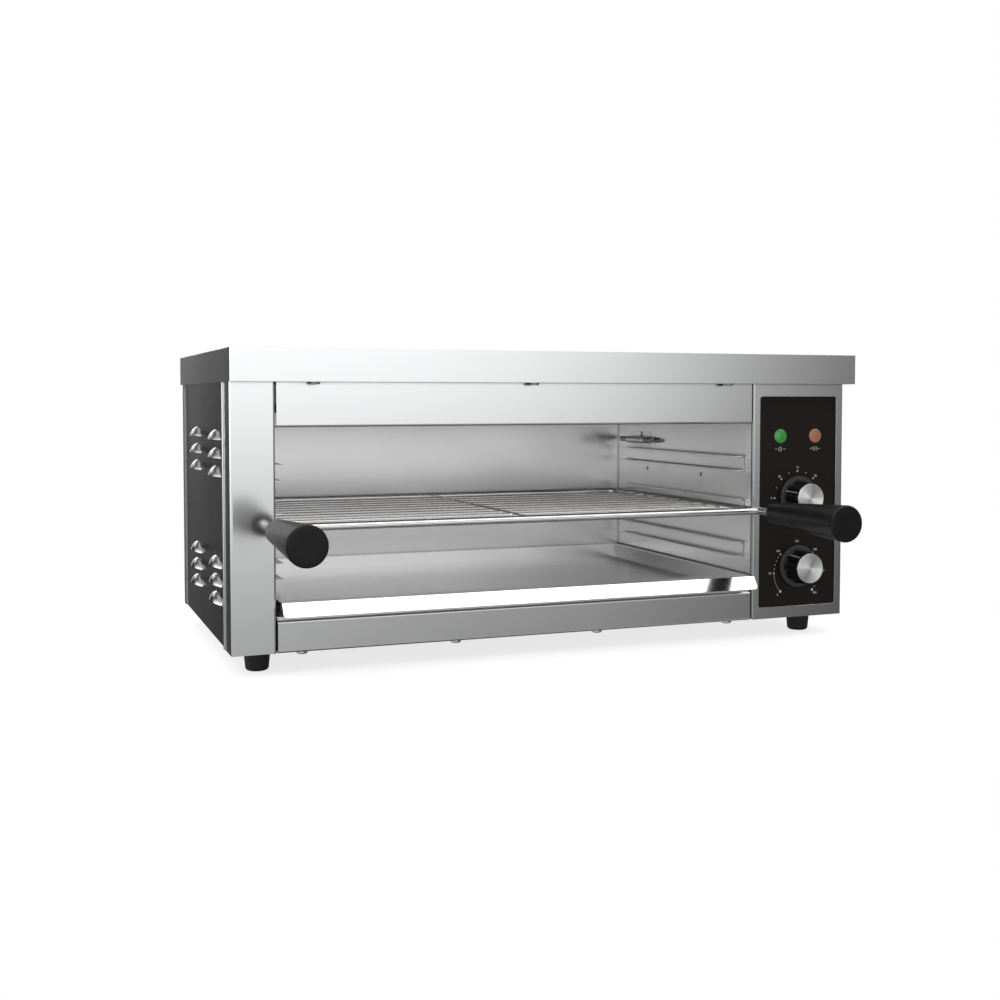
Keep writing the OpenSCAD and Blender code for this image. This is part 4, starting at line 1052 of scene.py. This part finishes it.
def camera():
    """The photograph's viewpoint"""
    bearing, tilt = radians(-20.762), radians(2.531)
    back = Vector((sin(bearing) * cos(tilt), -cos(bearing) * cos(tilt), sin(tilt)))
    right = Vector((cos(bearing), sin(bearing), 0))
    axes = Matrix((right, back.cross(right), back)).transposed().to_4x4()
    data = bpy.data.cameras.new("camera")
    data.sensor_width, data.lens = 36, 45.651
    data.shift_x, data.shift_y = 0.00797, -0.04579
    data.clip_start, data.clip_end = 0.05, 50
    eye = place_object("camera", data)
    eye.matrix_world = Matrix.Translation((-0.47161, -1.14417, 0.23513)) @ axes
    bpy.context.scene.camera = eye


def floor():
    """Plain white floor: it keeps the object's soft shadow, and is left out of reflections"""
    material = bpy.data.materials.new("studio floor")
    w = cleared(material)
    x, y, _ = w.place().axes()
    away = (x * x + y * y).math("SQRT").ramp(0.33, 0.62)
    rays = w.add("ShaderNodeLightPath").outputs
    seen, glossy = Term(w, rays["Is Camera Ray"]), Term(w, rays["Is Glossy Ray"])
    matt = w.term("ShaderNodeBsdfDiffuse", {"Color": (*grey(0.95), 1)})
    white = w.term("ShaderNodeEmission", {"Color": (*grey(1), 1), "Strength": 1.0})
    shown = w.mix_shaders(seen * away.ramp(0.0, 1.0, 0.75, 1.0), matt, white)
    clear = w.term("ShaderNodeBsdfTransparent")
    w.add("ShaderNodeOutputMaterial", {"Surface": w.mix_shaders(glossy, shown, clear)})
    half, below = 20, -0.0002
    corners = [(half * x, half * y, below) for x, y in ((-1, -1), (1, -1), (1, 1), (-1, 1))]
    new_piece("studio_floor", corners, [(0, 1, 2, 3)], material)


# Brightness around the object: degrees from the front towards the right, share of the brightest
AROUND = ((-180, 1.0), (-176.5, 0.9), (-175, 0.1), (-174, 0.01), (-156, 0.005), (-148, 0.5),
          (-138, 1.0), (10, 1.0), (14.4, 0.98), (18.9, 0.95), (21.1, 0.9), (23.4, 0.85),
          (25.6, 0.76), (27.9, 0.63), (30.1, 0.495), (32.3, 0.34), (34.4, 0.22), (36.4, 0.135),
          (40, 0.08), (56, 0.07), (75, 0.4), (105, 0.5), (125, 0.3), (140, 0.08), (155, 0.06),
          (166, 0.3), (173, 1.0), (180, 1.0))
# The same by height, as the direction's upward share
UPWARDS = ((-1, 0.06), (-0.4, 0.1), (-0.19, 0.235), (-0.155, 0.315), (-0.132, 0.395),
           (-0.087, 0.545), (-0.04, 0.7), (0, 0.855), (0.026, 1.0), (0.1, 1.0), (0.24, 0.5),
           (0.35, 0.42), (1, 0.42))


def level_curve(w, share, stops, span, shift):
    """A grey level through the stops, with their places in the span mapped to 0 to 1"""
    node = w.add("ShaderNodeValToRGB", {"Fac": share})
    line = node.color_ramp.elements
    while len(line) < len(stops):
        line.new(0.5)
    for element, (place, level) in zip(line, stops):
        element.position = (place + shift) / span
        element.color = (*grey(level), 1)
    return Term(w, node.outputs[0])


def studio():
    """White to the camera; reflections see a bright front at the left, darker sides and back"""
    world = bpy.data.worlds.new("studio")
    bpy.context.scene.world = world
    w = cleared(world)
    x, y, z = w.term("ShaderNodeTexCoord", output="Generated").axes()
    bearing = x.math("ARCTAN2", y * -1) / TURN + 0.5
    around = level_curve(w, bearing, AROUND, 360, 180)
    front = around * level_curve(w, z * 0.5 + 0.5, UPWARDS, 2, 1)
    above = z.ramp(0.3, 0.5)
    low_right = bearing.ramp(0.53, 0.56) * z.ramp(-0.02, -0.15)
    front = front * (1 - low_right * 0.27)
    # A low window behind, a pale wall at the left, a lower ring, and a white panel overhead
    window = bearing.ramp(0.035, 0.06, 1.0, 0.0) * z.ramp(0.06, 0.12) * z.ramp(0.2, 0.28, 1.0, 0.0)
    wall = (bearing.ramp(0.075, 0.1) * bearing.ramp(0.25, 0.35, 1.0, 0.0) * z.ramp(-0.14, 0.0)
            * z.ramp(0.1, 0.2, 1.0, 0.0))
    ring = z.ramp(-0.2, -0.32) * z.ramp(-0.85, -0.7)
    panel = (z.ramp(0.6, 0.75) * (y * -1).ramp(-0.1, 0.2)).math("MAXIMUM", z.ramp(0.86, 0.93))
    strength = (front * (1 - above) * 1.555 + above * 0.65 + panel * 1.3 + window * 1.1
                + wall * 0.9 + ring * 0.32 + z.ramp(0.0, -0.2) * 0.02)
    rays = w.add("ShaderNodeLightPath").outputs
    matt = Term(w, rays["Is Diffuse Ray"])
    strength = strength * (1 - matt) + matt * z.ramp(-0.3, 0.7, 0.5, 1.7)
    seen = Term(w, rays["Is Camera Ray"]).math("MAXIMUM", Term(w, rays["Is Transmission Ray"]))
    soft, plain = (w.term("ShaderNodeBackground", {"Color": (*grey(1), 1), "Strength": level})
                   for level in (strength, 1.0))
    w.add("ShaderNodeOutputWorld", {"Surface": w.mix_shaders(seen, soft, plain)})


def area_light(name, spot, target, size, watts):
    data = bpy.data.lights.new(name, "AREA")
    data.shape, data.size, data.size_y, data.energy = "RECTANGLE", size[0], size[1], watts
    light = place_object(name, data)
    light.location = spot
    light.rotation_euler = (Vector(target) - Vector(spot)).to_track_quat("-Z", "Y").to_euler()


camera()
floor()
studio()
area_light("key", (-1.6, -1.5, 2.0), (0, 0, 0.12), (1.6, 1.2), 22)
area_light("fill", (1.8, -1.2, 1.4), (0, 0, 0.1), (1.2, 1.2), 3)
area_light("rear", (0.5, 2.2, 1.6), (0, 0, 0.15), (1.8, 1.0), 3)

handles()
rack()
tray_ends()
for control, degrees in (("timer", 157.5), ("thermostat", 135)):
    knob(control)
    pointer(control, degrees)
lamp("power_lamp", "green_lens", green_lens)
lamp("heat_lamp", "amber_lens", amber_lens)
dial_print()
screws()
for side in ("left", "right"):
    side_panel(side)

bpy.context.scene.view_settings.view_transform = "Standard"
